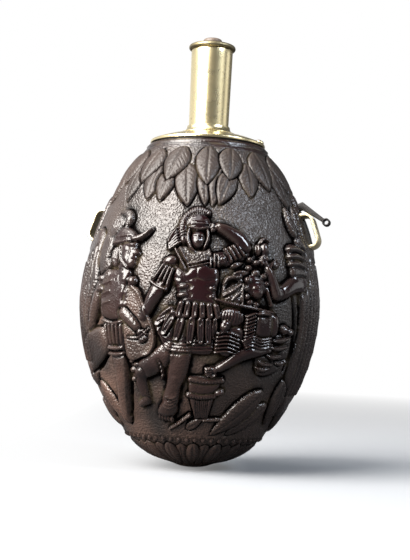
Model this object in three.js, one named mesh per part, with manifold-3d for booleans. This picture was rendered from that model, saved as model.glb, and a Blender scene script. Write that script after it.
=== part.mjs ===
// A powder flask made from a whole coconut: the hollow nut, sawn off at its crown,
// closed by a domed brass cap with a tall spout and a turned stopper, and carried
// by two brass strap loops whose legs go through the wall and are clenched inside.
// Millimetres, +Z along the spout, the origin at the bottom pole of the nut.
import * as THREE from "three";
import { mergeVertices } from "three/addons/utils/BufferGeometryUtils.js";
import Module from "manifold-3d";

const wasm = await Module();
wasm.setup();

// Nut
const BELLY_RADIUS = 40;
const BELLY_HEIGHT = 54.2;
const CROWN_HEIGHT = 52.4;
const SAWN_RADIUS = 19.6;
const SHELL_WALL = 4.5;
const BOTTOM_TAPER = 1.9;
const CROWN_TAPER = 1.62;

// Cap, with the pitch that beds it on the sawn edge
const CAP_INSET = 0.3;
const CAP_DOME_RADIUS = 50;
const CAP_SHEET = 0.9;
const BEDDING_EDGE = 0.4;
const BEDDING_SETBACK = 0.7;

// Tacks that hold the cap
const TACK_INSET = 1.5;
const TACK_HEAD_RADIUS = 1.4;
const TACK_HEAD_HEIGHT = 0.8;
const TACK_SHANK_RADIUS = 0.45;
const TACK_LENGTH = 4;

// Spout
const SPOUT_BASE_RADIUS = 6.6;
const SPOUT_MOUTH_RADIUS = 7;
const SPOUT_WALL = 0.8;
const SPOUT_LENGTH = 28.2;
const SPOUT_TAIL = 3.5;
const FLANGE_WIDTH = 4;
const FLANGE_SHEET = 0.9;
const FOOT_RISE = 2.2;
const FOOT_REACH = 2.4;
const FOOT_LIP = 0.3;
const MOUTH_WIRE_RADIUS = 0.9;

// Stopper
const PLUG_LENGTH = 16;
const PLUG_TAPER = 0.25;
const PLUG_CHAMFER = 0.9;
const KNOB_RADIUS = 3.2;
const KNOB_RISE = 2.5;
const KNOB_NECK_RADIUS = 2.6;
const KNOB_ROUNDING = 0.55;

// Strap loops
const LOOP_HEIGHT = 79.2;
const LOOP_SPAN = 11.8;
const LOOP_REACH = 3.4;
const LOOP_SHEET = 1;
const LOOP_WIDTH = 8.6;
const LOOP_BEND_RADIUS = 3;
const CLENCH_LENGTH = 2.2;

// Iron hook above the right loop
const HOOK_HEIGHT = 87.2;
const HOOK_ROOT_SHEET = 2.2;
const HOOK_SHEET = 1.2;
const HOOK_WIDTH = 3.5;
const HOOK_STAND_OFF = 1.3;
const HOOK_ARM_LENGTH = 9.6;
const HOOK_ARM_DROP = 33;
const HOOK_EYE_RADIUS = 1.3;
const HOOK_EYE_HOLE_RADIUS = 0.5;
const HOOK_TANG_LENGTH = 3.8;
const HOOK_TANG_TIP = 0.5;

// Roves, the oblong washers that the legs are clenched over
const ROVE_HEIGHT = 6.4;
const ROVE_MARGIN = 1.2;
const ROVE_SHEET = 0.8;

// Clearances
const SEAT_GAP = 0.1;
const FIT_GAP = 0.3;
const PLUG_GAP = 0.3;

// Facets
const NUT_FACETS = 56;
const NUT_RINGS = 10;
const BRASS_FACETS = 40;
const WIRE_FACETS = 8;
const TACK_FACETS = 14;
const BEND_FACETS = 6;
const CUT_OVERRUN = 6;

const brass = new THREE.MeshStandardMaterial({ color: 0xd8bd6a, roughness: 0.25, metalness: 1 });
const nutShell = new THREE.MeshStandardMaterial({ color: 0x3a2119, roughness: 0.45, metalness: 0 });
const iron = new THREE.MeshStandardMaterial({ color: 0x2e2926, roughness: 0.55, metalness: 1 });
const boxwood = new THREE.MeshStandardMaterial({ color: 0x9c7f5e, roughness: 0.5, metalness: 0 });
const pitch = new THREE.MeshStandardMaterial({ color: 0x171210, roughness: 0.6, metalness: 0 });

// The nut's outline: half egg below the belly, half egg above it, cut off by the saw
const sawnHeight = BELLY_HEIGHT + CROWN_HEIGHT;
const sawnShare = 1 - (SAWN_RADIUS / BELLY_RADIUS) ** 2;
const tipLength = CROWN_HEIGHT / sawnShare ** (1 / CROWN_TAPER);

function eggRadius(height, inset) {
  const above = height - BELLY_HEIGHT;
  const length = above < 0 ? BELLY_HEIGHT - inset : tipLength - inset;
  const taper = above < 0 ? BOTTOM_TAPER : CROWN_TAPER;
  const share = 1 - Math.abs(above / length) ** taper;
  return (BELLY_RADIUS - inset) * Math.sqrt(Math.max(share, 0));
}

// Heights from the bottom pole to the saw cut, closer together towards the pole
function ringHeights(inset) {
  const heights = [];
  for (let ring = 0; ring <= NUT_RINGS; ring += 1) {
    const angle = (ring / NUT_RINGS) * (Math.PI / 2);
    heights.push(BELLY_HEIGHT - (BELLY_HEIGHT - inset) * Math.cos(angle));
  }
  const topAngle = Math.asin(CROWN_HEIGHT / (tipLength - inset));
  for (let ring = 1; ring <= NUT_RINGS; ring += 1) {
    heights.push(BELLY_HEIGHT + (tipLength - inset) * Math.sin((ring / NUT_RINGS) * topAngle));
  }
  heights[heights.length - 1] = sawnHeight;
  return heights;
}

function revolve(points, facets) {
  const profile = points.map(([radius, height]) => new THREE.Vector2(radius, height));
  return new THREE.LatheGeometry(profile, facets).rotateX(Math.PI / 2);
}

// A closed round section of wire, as a profile to revolve
function wireProfile(ringRadius, height, wireRadius) {
  const points = [];
  for (let step = 0; step <= WIRE_FACETS; step += 1) {
    const angle = (step / WIRE_FACETS) * 2 * Math.PI;
    points.push([ringRadius + wireRadius * Math.cos(angle), height + wireRadius * Math.sin(angle)]);
  }
  points[WIRE_FACETS] = points[0];
  return points;
}

function solidOf(geometry) {
  const bare = geometry.clone();
  bare.deleteAttribute("normal");
  bare.deleteAttribute("uv");
  const merged = mergeVertices(bare, 1e-4);
  return new wasm.Manifold(
    new wasm.Mesh({
      numProp: 3,
      vertProperties: new Float32Array(merged.attributes.position.array),
      triVerts: new Uint32Array(merged.index.array),
    }),
  );
}

function geometryOf(solid) {
  const mesh = solid.getMesh();
  const geometry = new THREE.BufferGeometry();
  geometry.setAttribute("position", new THREE.BufferAttribute(mesh.vertProperties, 3));
  geometry.setIndex(new THREE.BufferAttribute(mesh.triVerts, 1));
  geometry.computeVertexNormals();
  return geometry;
}

function cutFrom(geometry, cutters) {
  const left = cutters.reduce((solid, cutter) => solid.subtract(solidOf(cutter)), solidOf(geometry));
  return geometryOf(left);
}

const flask = new THREE.Group();

function addPiece(name, geometry, material, parent = flask) {
  const piece = new THREE.Mesh(geometry, material);
  piece.name = name;
  parent.add(piece);
  return piece;
}

// A group on the nut's surface at a height: local X points straight out of the surface,
// local Z up along it, and turn is the angle about the flask's axis.
function placeOnNut(height, turn) {
  const step = 0.01;
  const slope = (eggRadius(height + step, 0) - eggRadius(height - step, 0)) / (2 * step);
  const around = new THREE.Group();
  around.rotation.z = turn;
  const seat = new THREE.Group();
  seat.position.set(eggRadius(height, 0), 0, height);
  seat.rotation.y = Math.atan(slope);
  around.add(seat);
  flask.add(around);
  flask.updateMatrixWorld(true);
  return seat;
}

// How far inwards a rove must lie so that all its corners clear the inner wall
function roveDepth(seat, legPlace, width) {
  const halfHeight = ROVE_HEIGHT / 2;
  const halfWidth = width / 2 + ROVE_MARGIN;
  const clears = (depth) =>
    [-halfHeight, halfHeight].every((along) =>
      [-halfWidth, halfWidth].every((across) => {
        const corner = seat.localToWorld(new THREE.Vector3(-depth, across, legPlace + along));
        return Math.hypot(corner.x, corner.y) < eggRadius(corner.z, SHELL_WALL);
      }),
    );
  let near = 0;
  let far = 3 * SHELL_WALL;
  while (far - near > 0.01) {
    const middle = (near + far) / 2;
    if (clears(middle)) far = middle;
    else near = middle;
  }
  return far + SEAT_GAP;
}

// A straight slot through the wall for a leg, in the leg's own group
function legSlot(seat, legPlace, sheet, width, depth) {
  const length = depth + CUT_OVERRUN;
  const slot = new THREE.BoxGeometry(length, width + 2 * FIT_GAP, sheet + 2 * FIT_GAP);
  slot.translate(CUT_OVERRUN / 2 - depth / 2, 0, legPlace);
  return slot.applyMatrix4(seat.matrixWorld);
}

// An oblong rove with a slot for one leg
function addRove(name, seat, legPlace, depth, sheet, width, material) {
  const plate = new THREE.BoxGeometry(ROVE_SHEET, width + 2 * ROVE_MARGIN, ROVE_HEIGHT);
  const hole = new THREE.BoxGeometry(2 * ROVE_SHEET, width + 2 * FIT_GAP, sheet + 2 * FIT_GAP);
  const rove = cutFrom(plate, [hole]);
  rove.translate(-depth - ROVE_SHEET / 2, 0, legPlace);
  return addPiece(name, rove, material, seat);
}

// An outline in the local X Z plane, made as deep as a strip is wide
function extrudeAcross(shape, width) {
  const geometry = new THREE.ExtrudeGeometry(shape, {
    depth: width,
    bevelEnabled: false,
    curveSegments: BEND_FACETS,
  });
  return geometry.rotateX(Math.PI / 2).translate(0, width / 2, 0);
}

const shellCutters = [];

// Strap loops: a brass strip bent round like a staple, each leg clenched over a rove
function stapleOutline(upperDepth, lowerDepth) {
  const half = LOOP_SPAN / 2;
  const inner = half - LOOP_SHEET;
  const bend = LOOP_BEND_RADIUS;
  const upperEnd = -(upperDepth + ROVE_SHEET + SEAT_GAP);
  const lowerEnd = -(lowerDepth + ROVE_SHEET + SEAT_GAP);
  const outline = new THREE.Shape();
  outline.moveTo(upperEnd - LOOP_SHEET, inner);
  outline.lineTo(LOOP_REACH - bend, inner);
  outline.absarc(LOOP_REACH - bend, half - bend, bend - LOOP_SHEET, Math.PI / 2, 0, true);
  outline.absarc(LOOP_REACH - bend, bend - half, bend - LOOP_SHEET, 0, -Math.PI / 2, true);
  outline.lineTo(lowerEnd - LOOP_SHEET, -inner);
  outline.lineTo(lowerEnd - LOOP_SHEET, -half - CLENCH_LENGTH);
  outline.lineTo(lowerEnd, -half - CLENCH_LENGTH);
  outline.lineTo(lowerEnd, -half);
  outline.lineTo(LOOP_REACH - bend, -half);
  outline.absarc(LOOP_REACH - bend, bend - half, bend, -Math.PI / 2, 0, false);
  outline.absarc(LOOP_REACH - bend, half - bend, bend, 0, Math.PI / 2, false);
  outline.lineTo(upperEnd, half);
  outline.lineTo(upperEnd, half + CLENCH_LENGTH);
  outline.lineTo(upperEnd - LOOP_SHEET, half + CLENCH_LENGTH);
  outline.closePath();
  return outline;
}

function addStrapLoop(side, turn) {
  const seat = placeOnNut(LOOP_HEIGHT, turn);
  const legPlace = (LOOP_SPAN - LOOP_SHEET) / 2;
  const upperDepth = roveDepth(seat, legPlace, LOOP_WIDTH);
  const lowerDepth = roveDepth(seat, -legPlace, LOOP_WIDTH);
  const strip = extrudeAcross(stapleOutline(upperDepth, lowerDepth), LOOP_WIDTH);
  addPiece(`strap_loop_${side}`, strip, brass, seat);
  addRove(`rove_${side}_upper`, seat, legPlace, upperDepth, LOOP_SHEET, LOOP_WIDTH, brass);
  addRove(`rove_${side}_lower`, seat, -legPlace, lowerDepth, LOOP_SHEET, LOOP_WIDTH, brass);
  shellCutters.push(legSlot(seat, legPlace, LOOP_SHEET, LOOP_WIDTH, upperDepth));
  shellCutters.push(legSlot(seat, -legPlace, LOOP_SHEET, LOOP_WIDTH, lowerDepth));
}

addStrapLoop("right", 0);
addStrapLoop("left", Math.PI);

// Iron hook: a tapered strip with a tang driven into the wall, bent down outside and rolled into an eye
function hookOutline(armAngle) {
  const root = HOOK_ROOT_SHEET / 2;
  const half = HOOK_SHEET / 2;
  const along = new THREE.Vector2(Math.cos(armAngle), -Math.sin(armAngle));
  const across = new THREE.Vector2(Math.sin(armAngle), Math.cos(armAngle));
  const bendShift = root * Math.tan(armAngle / 2);
  const eye = new THREE.Vector2(HOOK_STAND_OFF, 0).addScaledVector(along, HOOK_ARM_LENGTH);
  const neckAngle = Math.asin(half / HOOK_EYE_RADIUS);
  const lowNeck = eye.clone().addScaledVector(along, -HOOK_EYE_RADIUS * Math.cos(neckAngle));
  lowNeck.addScaledVector(across, -half);
  const startAngle = -armAngle + Math.PI + neckAngle;
  const endAngle = -armAngle + Math.PI - neckAngle + 2 * Math.PI;
  const outline = new THREE.Shape();
  outline.moveTo(-HOOK_TANG_LENGTH, -HOOK_TANG_TIP / 2);
  outline.lineTo(0, -root);
  outline.lineTo(HOOK_STAND_OFF - bendShift, -root);
  outline.lineTo(lowNeck.x, lowNeck.y);
  outline.absarc(eye.x, eye.y, HOOK_EYE_RADIUS, startAngle, endAngle, false);
  outline.lineTo(HOOK_STAND_OFF + bendShift, root);
  outline.lineTo(0, root);
  outline.lineTo(-HOOK_TANG_LENGTH, HOOK_TANG_TIP / 2);
  outline.closePath();
  const hole = new THREE.Path();
  hole.absarc(eye.x, eye.y, HOOK_EYE_HOLE_RADIUS, 0, 2 * Math.PI, true);
  outline.holes.push(hole);
  return outline;
}

function addHook() {
  const seat = placeOnNut(HOOK_HEIGHT, 0);
  const armAngle = THREE.MathUtils.degToRad(HOOK_ARM_DROP) - seat.rotation.y;
  addPiece("cord_hook", extrudeAcross(hookOutline(armAngle), HOOK_WIDTH), iron, seat);
  shellCutters.push(legSlot(seat, 0, HOOK_ROOT_SHEET, HOOK_WIDTH, HOOK_TANG_LENGTH + FIT_GAP));
}

addHook();

// Cap: a shallow spun dome of even sheet, its edge just inside the sawn edge of the nut
const capRadius = SAWN_RADIUS - CAP_INSET;
const capSeat = sawnHeight + SEAT_GAP + BEDDING_EDGE + SEAT_GAP;
const domeCentre = capSeat - Math.sqrt((CAP_DOME_RADIUS - CAP_SHEET) ** 2 - capRadius ** 2);
const domeTop = (radius) => domeCentre + Math.sqrt(CAP_DOME_RADIUS ** 2 - radius ** 2);
const domeUnder = (radius) =>
  domeCentre + Math.sqrt((CAP_DOME_RADIUS - CAP_SHEET) ** 2 - radius ** 2);

function spaced(from, to, steps) {
  return Array.from({ length: steps + 1 }, (_, step) => from + ((to - from) * step) / steps);
}

const capHoleRadius = SPOUT_BASE_RADIUS + FIT_GAP;
const DOME_STEPS = 6;
const capProfile = [
  ...spaced(capHoleRadius, capRadius, DOME_STEPS).map((radius) => [radius, domeUnder(radius)]),
  ...spaced(capRadius, capHoleRadius, DOME_STEPS).map((radius) => [radius, domeTop(radius)]),
];
capProfile.push(capProfile[0]);

// Bedding: pitch that fills the wedge between the sawn edge and the dome, outside the flange
const flangeInner = SPOUT_BASE_RADIUS + SEAT_GAP;
const flangeOuter = flangeInner + FLANGE_WIDTH;
const mouthRadius = eggRadius(sawnHeight, SHELL_WALL);
const beddingOuter = capRadius - BEDDING_SETBACK;
const beddingInner = Math.max(mouthRadius + BEDDING_SETBACK, flangeOuter + FIT_GAP);
const BEDDING_STEPS = 3;
const beddingProfile = [
  [beddingInner, sawnHeight + SEAT_GAP],
  [beddingOuter, sawnHeight + SEAT_GAP],
  ...spaced(beddingOuter, beddingInner, BEDDING_STEPS).map((radius) => [
    radius,
    domeUnder(radius) - SEAT_GAP,
  ]),
];
beddingProfile.push(beddingProfile[0]);

// Tacks: round heads on the slope of the cap, shanks square to it
const tackRadius = capRadius - TACK_INSET;
const tackLean = Math.asin(tackRadius / CAP_DOME_RADIUS);

function placeTack(turn) {
  const around = new THREE.Group();
  around.rotation.z = turn;
  const seat = new THREE.Group();
  seat.position.set(tackRadius, 0, domeTop(tackRadius));
  seat.rotation.y = tackLean;
  around.add(seat);
  flask.add(around);
  flask.updateMatrixWorld(true);
  return seat;
}

const tackProfile = [[0, -TACK_LENGTH]];
tackProfile.push([TACK_SHANK_RADIUS / 2, TACK_SHANK_RADIUS - TACK_LENGTH]);
tackProfile.push([TACK_SHANK_RADIUS, 2 * TACK_SHANK_RADIUS - TACK_LENGTH]);
tackProfile.push([TACK_SHANK_RADIUS, SEAT_GAP], [TACK_HEAD_RADIUS, SEAT_GAP]);
for (const angle of spaced(0, Math.PI / 2, 4).slice(1)) {
  const radius = TACK_HEAD_RADIUS * Math.cos(angle);
  tackProfile.push([Math.max(radius, 0), SEAT_GAP + TACK_HEAD_HEIGHT * Math.sin(angle)]);
}
tackProfile[tackProfile.length - 1][0] = 0;

const tackHoles = [];
for (const [side, turn] of [
  ["right", 0],
  ["left", Math.PI],
]) {
  const seat = placeTack(turn);
  addPiece(`cap_tack_${side}`, revolve(tackProfile, TACK_FACETS), brass, seat);
  const hole = new THREE.CylinderGeometry(
    TACK_SHANK_RADIUS + FIT_GAP,
    TACK_SHANK_RADIUS + FIT_GAP,
    TACK_LENGTH + FIT_GAP + 1,
    TACK_FACETS,
  );
  hole.rotateX(Math.PI / 2);
  hole.translate(0, 0, (1 - TACK_LENGTH - FIT_GAP) / 2);
  tackHoles.push(hole.applyMatrix4(seat.matrixWorld));
}

addPiece("neck_cap", cutFrom(revolve(capProfile, BRASS_FACETS), tackHoles), brass);
addPiece("cap_bedding", cutFrom(revolve(beddingProfile, BRASS_FACETS), tackHoles), pitch);

// Nut: outer wall up to the saw cut, then down the inner wall
const nutProfile = ringHeights(0).map((height) => [eggRadius(height, 0), height]);
nutProfile.push(
  ...ringHeights(SHELL_WALL)
    .reverse()
    .map((height) => [eggRadius(height, SHELL_WALL), height]),
);
const nut = revolve(nutProfile, NUT_FACETS);
addPiece("coconut_shell", cutFrom(nut, [...shellCutters, ...tackHoles]), nutShell);

// Spout: a tube that widens a little towards its mouth
const spoutFoot = domeTop(SPOUT_BASE_RADIUS);
const spoutTop = spoutFoot + SPOUT_LENGTH;
const spoutFlare = (SPOUT_MOUTH_RADIUS - SPOUT_BASE_RADIUS) / SPOUT_LENGTH;
const spoutRadius = (height) => SPOUT_BASE_RADIUS + spoutFlare * (height - spoutFoot);
const boreRadius = (height) => spoutRadius(height) - SPOUT_WALL;
const tailEnd = spoutFoot - SPOUT_TAIL;
const spoutProfile = [
  [boreRadius(tailEnd), tailEnd],
  [spoutRadius(tailEnd), tailEnd],
  [spoutRadius(spoutTop), spoutTop],
  [boreRadius(spoutTop), spoutTop],
];
spoutProfile.push(spoutProfile[0]);
addPiece("spout_tube", revolve(spoutProfile, BRASS_FACETS), brass);

// Flange: a dished washer that holds the tail of the spout under the cap
const FLANGE_STEPS = 2;
const flangeTop = (radius) => domeUnder(radius) - SEAT_GAP;
const flangeProfile = [
  ...spaced(flangeInner, flangeOuter, FLANGE_STEPS).map((radius) => [
    radius,
    flangeTop(radius) - FLANGE_SHEET,
  ]),
  ...spaced(flangeOuter, flangeInner, FLANGE_STEPS).map((radius) => [radius, flangeTop(radius)]),
];
flangeProfile.push(flangeProfile[0]);
addPiece("spout_flange", revolve(flangeProfile, BRASS_FACETS), brass);

// Foot ring: a hollow fillet that leads from the dome of the cap up into the spout
const footInner = SPOUT_BASE_RADIUS + FIT_GAP;
const footOuter = footInner + FOOT_REACH;
const footTop = domeTop(footInner) + SEAT_GAP + FOOT_RISE;
const footEdge = domeTop(footOuter) + SEAT_GAP;
const FOOT_STEPS = 5;
const footProfile = [
  [footInner, domeTop(footInner) + SEAT_GAP],
  [footOuter, footEdge],
  ...spaced(Math.PI / 2, 0, FOOT_STEPS).map((angle) => [
    footOuter - (FOOT_REACH - FOOT_LIP) * Math.cos(angle),
    footTop - (footTop - footEdge - FOOT_LIP) * Math.sin(angle),
  ]),
  [footInner, footTop],
];
footProfile.push(footProfile[0]);
addPiece("foot_ring", revolve(footProfile, BRASS_FACETS), brass);

// Mouth ring: a wire soldered on the mouth of the spout
const mouthRingHeight = spoutTop + SEAT_GAP + MOUTH_WIRE_RADIUS;
const mouthRing = wireProfile(SPOUT_MOUTH_RADIUS, mouthRingHeight, MOUTH_WIRE_RADIUS);
addPiece("mouth_ring", revolve(mouthRing, BRASS_FACETS), brass);

// Stopper: a tapered plug in the bore with a round knob above the mouth
const mouthTop = mouthRingHeight + MOUTH_WIRE_RADIUS;
const plugTop = mouthTop - MOUTH_WIRE_RADIUS / 2;
const plugBottom = plugTop - PLUG_LENGTH;
const throatRadius = Math.min(SPOUT_MOUTH_RADIUS - MOUTH_WIRE_RADIUS, boreRadius(plugBottom));
const plugTopRadius = throatRadius - PLUG_GAP;
const plugEndRadius = plugTopRadius - PLUG_TAPER;
const knobTop = mouthTop + KNOB_RISE;
const knobEquator = (plugTop + knobTop) / 2;
const stopperProfile = [
  [0, plugBottom],
  [plugEndRadius - PLUG_CHAMFER, plugBottom],
  [plugEndRadius, plugBottom + PLUG_CHAMFER],
  [plugTopRadius, plugTop - PLUG_CHAMFER / 2],
  [plugTopRadius - PLUG_CHAMFER / 2, plugTop],
  [KNOB_NECK_RADIUS, plugTop],
  [(KNOB_NECK_RADIUS + KNOB_RADIUS) / 2, (plugTop + knobEquator) / 2],
];
const KNOB_STEPS = 6;
for (const angle of spaced(0, Math.PI / 2, KNOB_STEPS)) {
  const radius = angle < Math.PI / 2 ? KNOB_RADIUS * Math.cos(angle) ** KNOB_ROUNDING : 0;
  const rise = Math.sin(angle) ** KNOB_ROUNDING;
  stopperProfile.push([radius, knobEquator + (knobTop - knobEquator) * rise]);
}
addPiece("stopper", revolve(stopperProfile, BRASS_FACETS), boxwood);

export default flask;
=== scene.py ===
# %% [markdown]
# A powder flask made from a carved coconut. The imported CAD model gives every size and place.
# This lesson dresses it: the nut is carved in low relief, and the brass, iron and wood are
# turned, bent and finished as a workshop would do it.

from math import atan, cos, hypot, pi, radians, sin, sqrt, tan

import bpy
import numpy as np
from mathutils import Matrix, Vector


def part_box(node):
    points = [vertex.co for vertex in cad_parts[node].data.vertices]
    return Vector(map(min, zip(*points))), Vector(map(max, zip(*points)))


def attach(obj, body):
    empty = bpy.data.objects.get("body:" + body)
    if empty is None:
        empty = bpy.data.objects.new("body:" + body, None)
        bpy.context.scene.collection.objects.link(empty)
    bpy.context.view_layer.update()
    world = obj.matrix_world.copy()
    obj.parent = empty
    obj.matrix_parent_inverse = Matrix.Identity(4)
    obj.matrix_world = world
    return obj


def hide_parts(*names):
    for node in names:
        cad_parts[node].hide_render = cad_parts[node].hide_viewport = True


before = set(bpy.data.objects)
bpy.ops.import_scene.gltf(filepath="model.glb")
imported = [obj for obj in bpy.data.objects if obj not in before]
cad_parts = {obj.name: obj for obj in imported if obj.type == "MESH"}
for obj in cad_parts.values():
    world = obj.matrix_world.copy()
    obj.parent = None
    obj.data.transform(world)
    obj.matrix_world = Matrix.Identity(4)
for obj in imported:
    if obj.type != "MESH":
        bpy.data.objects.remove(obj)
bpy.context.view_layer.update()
MM = 0.001

# %% [markdown]
# Colours are written as the hex values of a paint chart, which are sRGB. Blender's shaders
# want linear light, so one function turns one into the other. Another small function adds a
# shader node with its settings and links, and is all that the materials below need. Sockets are
# named, or filled in their own order.

# %% Colour and node helpers


def linear(hex_colour):
    channels = [int(hex_colour[i:i + 2], 16) / 255 for i in (1, 3, 5)]
    light = [c / 12.92 if c <= 0.04045 else ((c + 0.055) / 1.055) ** 2.4 for c in channels]
    return (*light, 1.0)


def connect(tree, made, inputs):
    """Fills a node's sockets: an output is linked, a number or a colour is written in."""
    for socket, value in inputs.items():
        if isinstance(value, bpy.types.NodeSocket):
            tree.links.new(value, made.inputs[socket])
        else:
            made.inputs[socket].default_value = value


def node(tree, kind, inputs=(), output=0, **settings):
    """Adds a shader node with its settings and links, and gives back one of its outputs."""
    made = tree.nodes.new("ShaderNode" + kind)
    for name, value in settings.items():
        setattr(made, name, value)
    connect(tree, made, inputs if isinstance(inputs, dict) else dict(enumerate(inputs)))
    return made.outputs[output] if made.outputs else made


def new_material(name):
    """A material, its tree, its surface shader, and the place on the piece in metres."""
    material = bpy.data.materials.new(name)
    material.use_nodes = True
    tree = material.node_tree
    place = node(tree, "TexCoord", output="Object")
    return material, tree, tree.nodes["Principled BSDF"], place


WHITE = linear("#ffffff")
print("helpers ready, white is", WHITE[:3])

# %% [markdown]
# The photograph was taken from a little below the middle of the flask, about 40 cm away, with
# the flask turned 13 degrees. The camera stands there. Its focal length follows from the size
# of a pixel on the flask, and its roll from the lean of the flask in the picture.

# %% Camera
IMAGE_HEIGHT = 560
PIXEL = 0.335 * MM
CAMERA_DISTANCE = 0.4
CAMERA_TURN = radians(13)
CAMERA_DROP = radians(2.5)
CAMERA_ROLL = radians(2.8)
SENSOR = 36
NEAREST = 0.01
FARTHEST = 20
AIM = Vector((0, 0, 0.056))
AIM_OFFSET_RIGHT = 4.8 * PIXEL
AIM_OFFSET_UP = 18.3 * PIXEL

to_camera = Vector((sin(CAMERA_TURN) * cos(CAMERA_DROP), -cos(CAMERA_TURN) * cos(CAMERA_DROP),
                    -sin(CAMERA_DROP)))
level_right = (-to_camera).cross(Vector((0, 0, 1))).normalized()
level_up = level_right.cross(-to_camera)
camera_right = level_right * cos(CAMERA_ROLL) + level_up * sin(CAMERA_ROLL)
camera_up = level_up * cos(CAMERA_ROLL) - level_right * sin(CAMERA_ROLL)
camera_place = AIM + to_camera * CAMERA_DISTANCE
target = AIM + camera_right * AIM_OFFSET_RIGHT + camera_up * AIM_OFFSET_UP
look = (target - camera_place).normalized()
side = look.cross(camera_up).normalized()
upright = side.cross(look)

camera_data = bpy.data.cameras.new("camera")
camera_data.sensor_width = SENSOR
camera_data.lens = CAMERA_DISTANCE / PIXEL * SENSOR / IMAGE_HEIGHT
camera_data.clip_start = NEAREST
camera_data.clip_end = FARTHEST
camera = bpy.data.objects.new("camera", camera_data)
camera.matrix_world = Matrix((side, upright, -look)).transposed().to_4x4()
camera.location = camera_place
bpy.context.scene.collection.objects.link(camera)
bpy.context.scene.camera = camera
print("lens", round(camera_data.lens, 1), "mm")

# %% [markdown]
# The stage is a white sweep. The camera sees plain white behind the flask, while the flask itself
# mirrors a room: bright on the far left, dim on the camera's side, and darker above and below the
# walls. That gives brass its dark band and keeps the polished carving black. A picture of a real
# room could light it too, but a few numbers are easier to change.

# %% The room
bpy.context.scene.view_settings.view_transform = "Standard"

ROOM_BRIGHT = 1.15
ROOM_DARK = 0.2
ROOM_ABOVE = 0.5
BRIGHT_SIDE = -112
BRIGHT_RISE = 0.1
BRIGHT_SPREAD = (0.0, 0.75)
WALL_EDGE = (0.12, 0.42)

world = bpy.data.worlds.new("white_sweep")
world.use_nodes = True
bpy.context.scene.world = world
tree = world.node_tree
tree.nodes.clear()
bright_angle = CAMERA_TURN + radians(BRIGHT_SIDE)
bright_way = (sin(bright_angle), -cos(bright_angle), BRIGHT_RISE)
way_out = node(tree, "TexCoord", output="Generated")
towards = node(tree, "VectorMath", (way_out, bright_way), "Value", operation="DOT_PRODUCT")
room_light = node(tree, "MapRange", (towards, *BRIGHT_SPREAD, ROOM_DARK, ROOM_BRIGHT),
                  interpolation_type="SMOOTHSTEP")
rise = node(tree, "SeparateXYZ", (way_out,), "Z")
steepness = node(tree, "Math", (rise,), operation="ABSOLUTE")
wall_share = node(tree, "MapRange", (steepness, *WALL_EDGE, 1.0, ROOM_ABOVE))
wall_light = node(tree, "Math", (room_light, wall_share), operation="MULTIPLY")
camera_sees = node(tree, "LightPath", output="Is Camera Ray")
room = node(tree, "Background", {"Color": WHITE, "Strength": wall_light})
white = node(tree, "Background", {"Color": WHITE, "Strength": 1.0})
backdrop = node(tree, "MixShader", (camera_sees, room, white))
node(tree, "OutputWorld", {"Surface": backdrop})
print("room light from", ROOM_DARK, "to", ROOM_BRIGHT)

# %% [markdown]
# Large soft windows draw the highlights on the carving and the white band on the spout: a strong
# one on the left, weaker ones further round, and a cooler one on the right. Two white cards stand
# low on the right and brighten the edge of the brass. Area lights do both jobs, because their
# size decides how soft a highlight is.

# %% Windows and cards


def add_window(name, azimuth, elevation, distance, width, height, power, colour):
    """A soft area light, placed by its angle from the camera's side, facing the flask."""
    angle = CAMERA_TURN + radians(azimuth)
    lift = radians(elevation)
    away = Vector((sin(angle) * cos(lift), -cos(angle) * cos(lift), sin(lift)))
    lamp = bpy.data.lights.new(name, "AREA")
    lamp.shape = "RECTANGLE"
    lamp.size = width
    lamp.size_y = height
    lamp.energy = power
    lamp.color = linear(colour)[:3]
    window = bpy.data.objects.new(name, lamp)
    window.location = AIM + away * distance
    window.rotation_euler = away.to_track_quat("Z", "Y").to_euler()
    bpy.context.scene.collection.objects.link(window)


add_window("window_left", -50, 35, 0.75, 0.54, 0.76, 29, "#fffaf4")
add_window("window_far_left", -86, 44, 0.9, 0.5, 0.5, 2.8, "#fff6ee")
add_window("window_right", 58, 38, 0.85, 0.26, 0.26, 5.3, "#eaf3ff")
add_window("sky_panel", -60, 76, 0.9, 0.6, 0.5, 3.2, "#ffffff")
add_window("white_card_right", 64, 3, 0.8, 0.3, 0.7, 0.6, "#ffffff")
add_window("white_card_far_right", 104, 8, 0.8, 0.35, 0.5, 0.62, "#ffffff")
print("lights", len(bpy.data.lights))

# %% [markdown]
# The floor is matt card. It keeps the shadow near the flask and fades to white further off and on
# the left, so that it has no edge against the backdrop. Light that bounces off it sees a darker
# card than the camera does, because a white floor would veil the underside of the nut.

# %% Floor
FLOOR_SIZE = 6
FLOOR_DROP = 0.3 * MM
FLOOR_FADE = (0.14, 0.9)
LEFT_GLOW = (-0.07, 0.02)
CARD_ROUGHNESS = 0.9

bpy.ops.object.select_all(action="DESELECT")
bpy.ops.mesh.primitive_plane_add(size=FLOOR_SIZE, location=(0, 0, -FLOOR_DROP))
floor = bpy.context.object
floor.name = "floor"
card_material, tree, surface, place = new_material("matt white card")
distance = node(tree, "VectorMath", (place,), "Value", operation="LENGTH")
fade = node(tree, "MapRange", (distance, *FLOOR_FADE, 0.0, 1.0))
rightwards = node(tree, "VectorMath", (place, level_right), "Value", operation="DOT_PRODUCT")
left_glow = node(tree, "MapRange", (rightwards, *LEFT_GLOW, 1.0, 0.0))
white_share = node(tree, "Math", (fade, left_glow), operation="MAXIMUM")
camera_sees = node(tree, "LightPath", output="Is Camera Ray")
glow_share = node(tree, "Math", (camera_sees, white_share), operation="MULTIPLY")
card_tones = {0: camera_sees, 6: linear("#3c3c3e"), 7: linear("#8d9094")}
card_tone = node(tree, "Mix", card_tones, 2, data_type="RGBA")
connect(tree, surface, {"Base Color": card_tone, "Roughness": CARD_ROUGHNESS})
glow = node(tree, "Emission", {"Color": WHITE, "Strength": 1.0})
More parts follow.
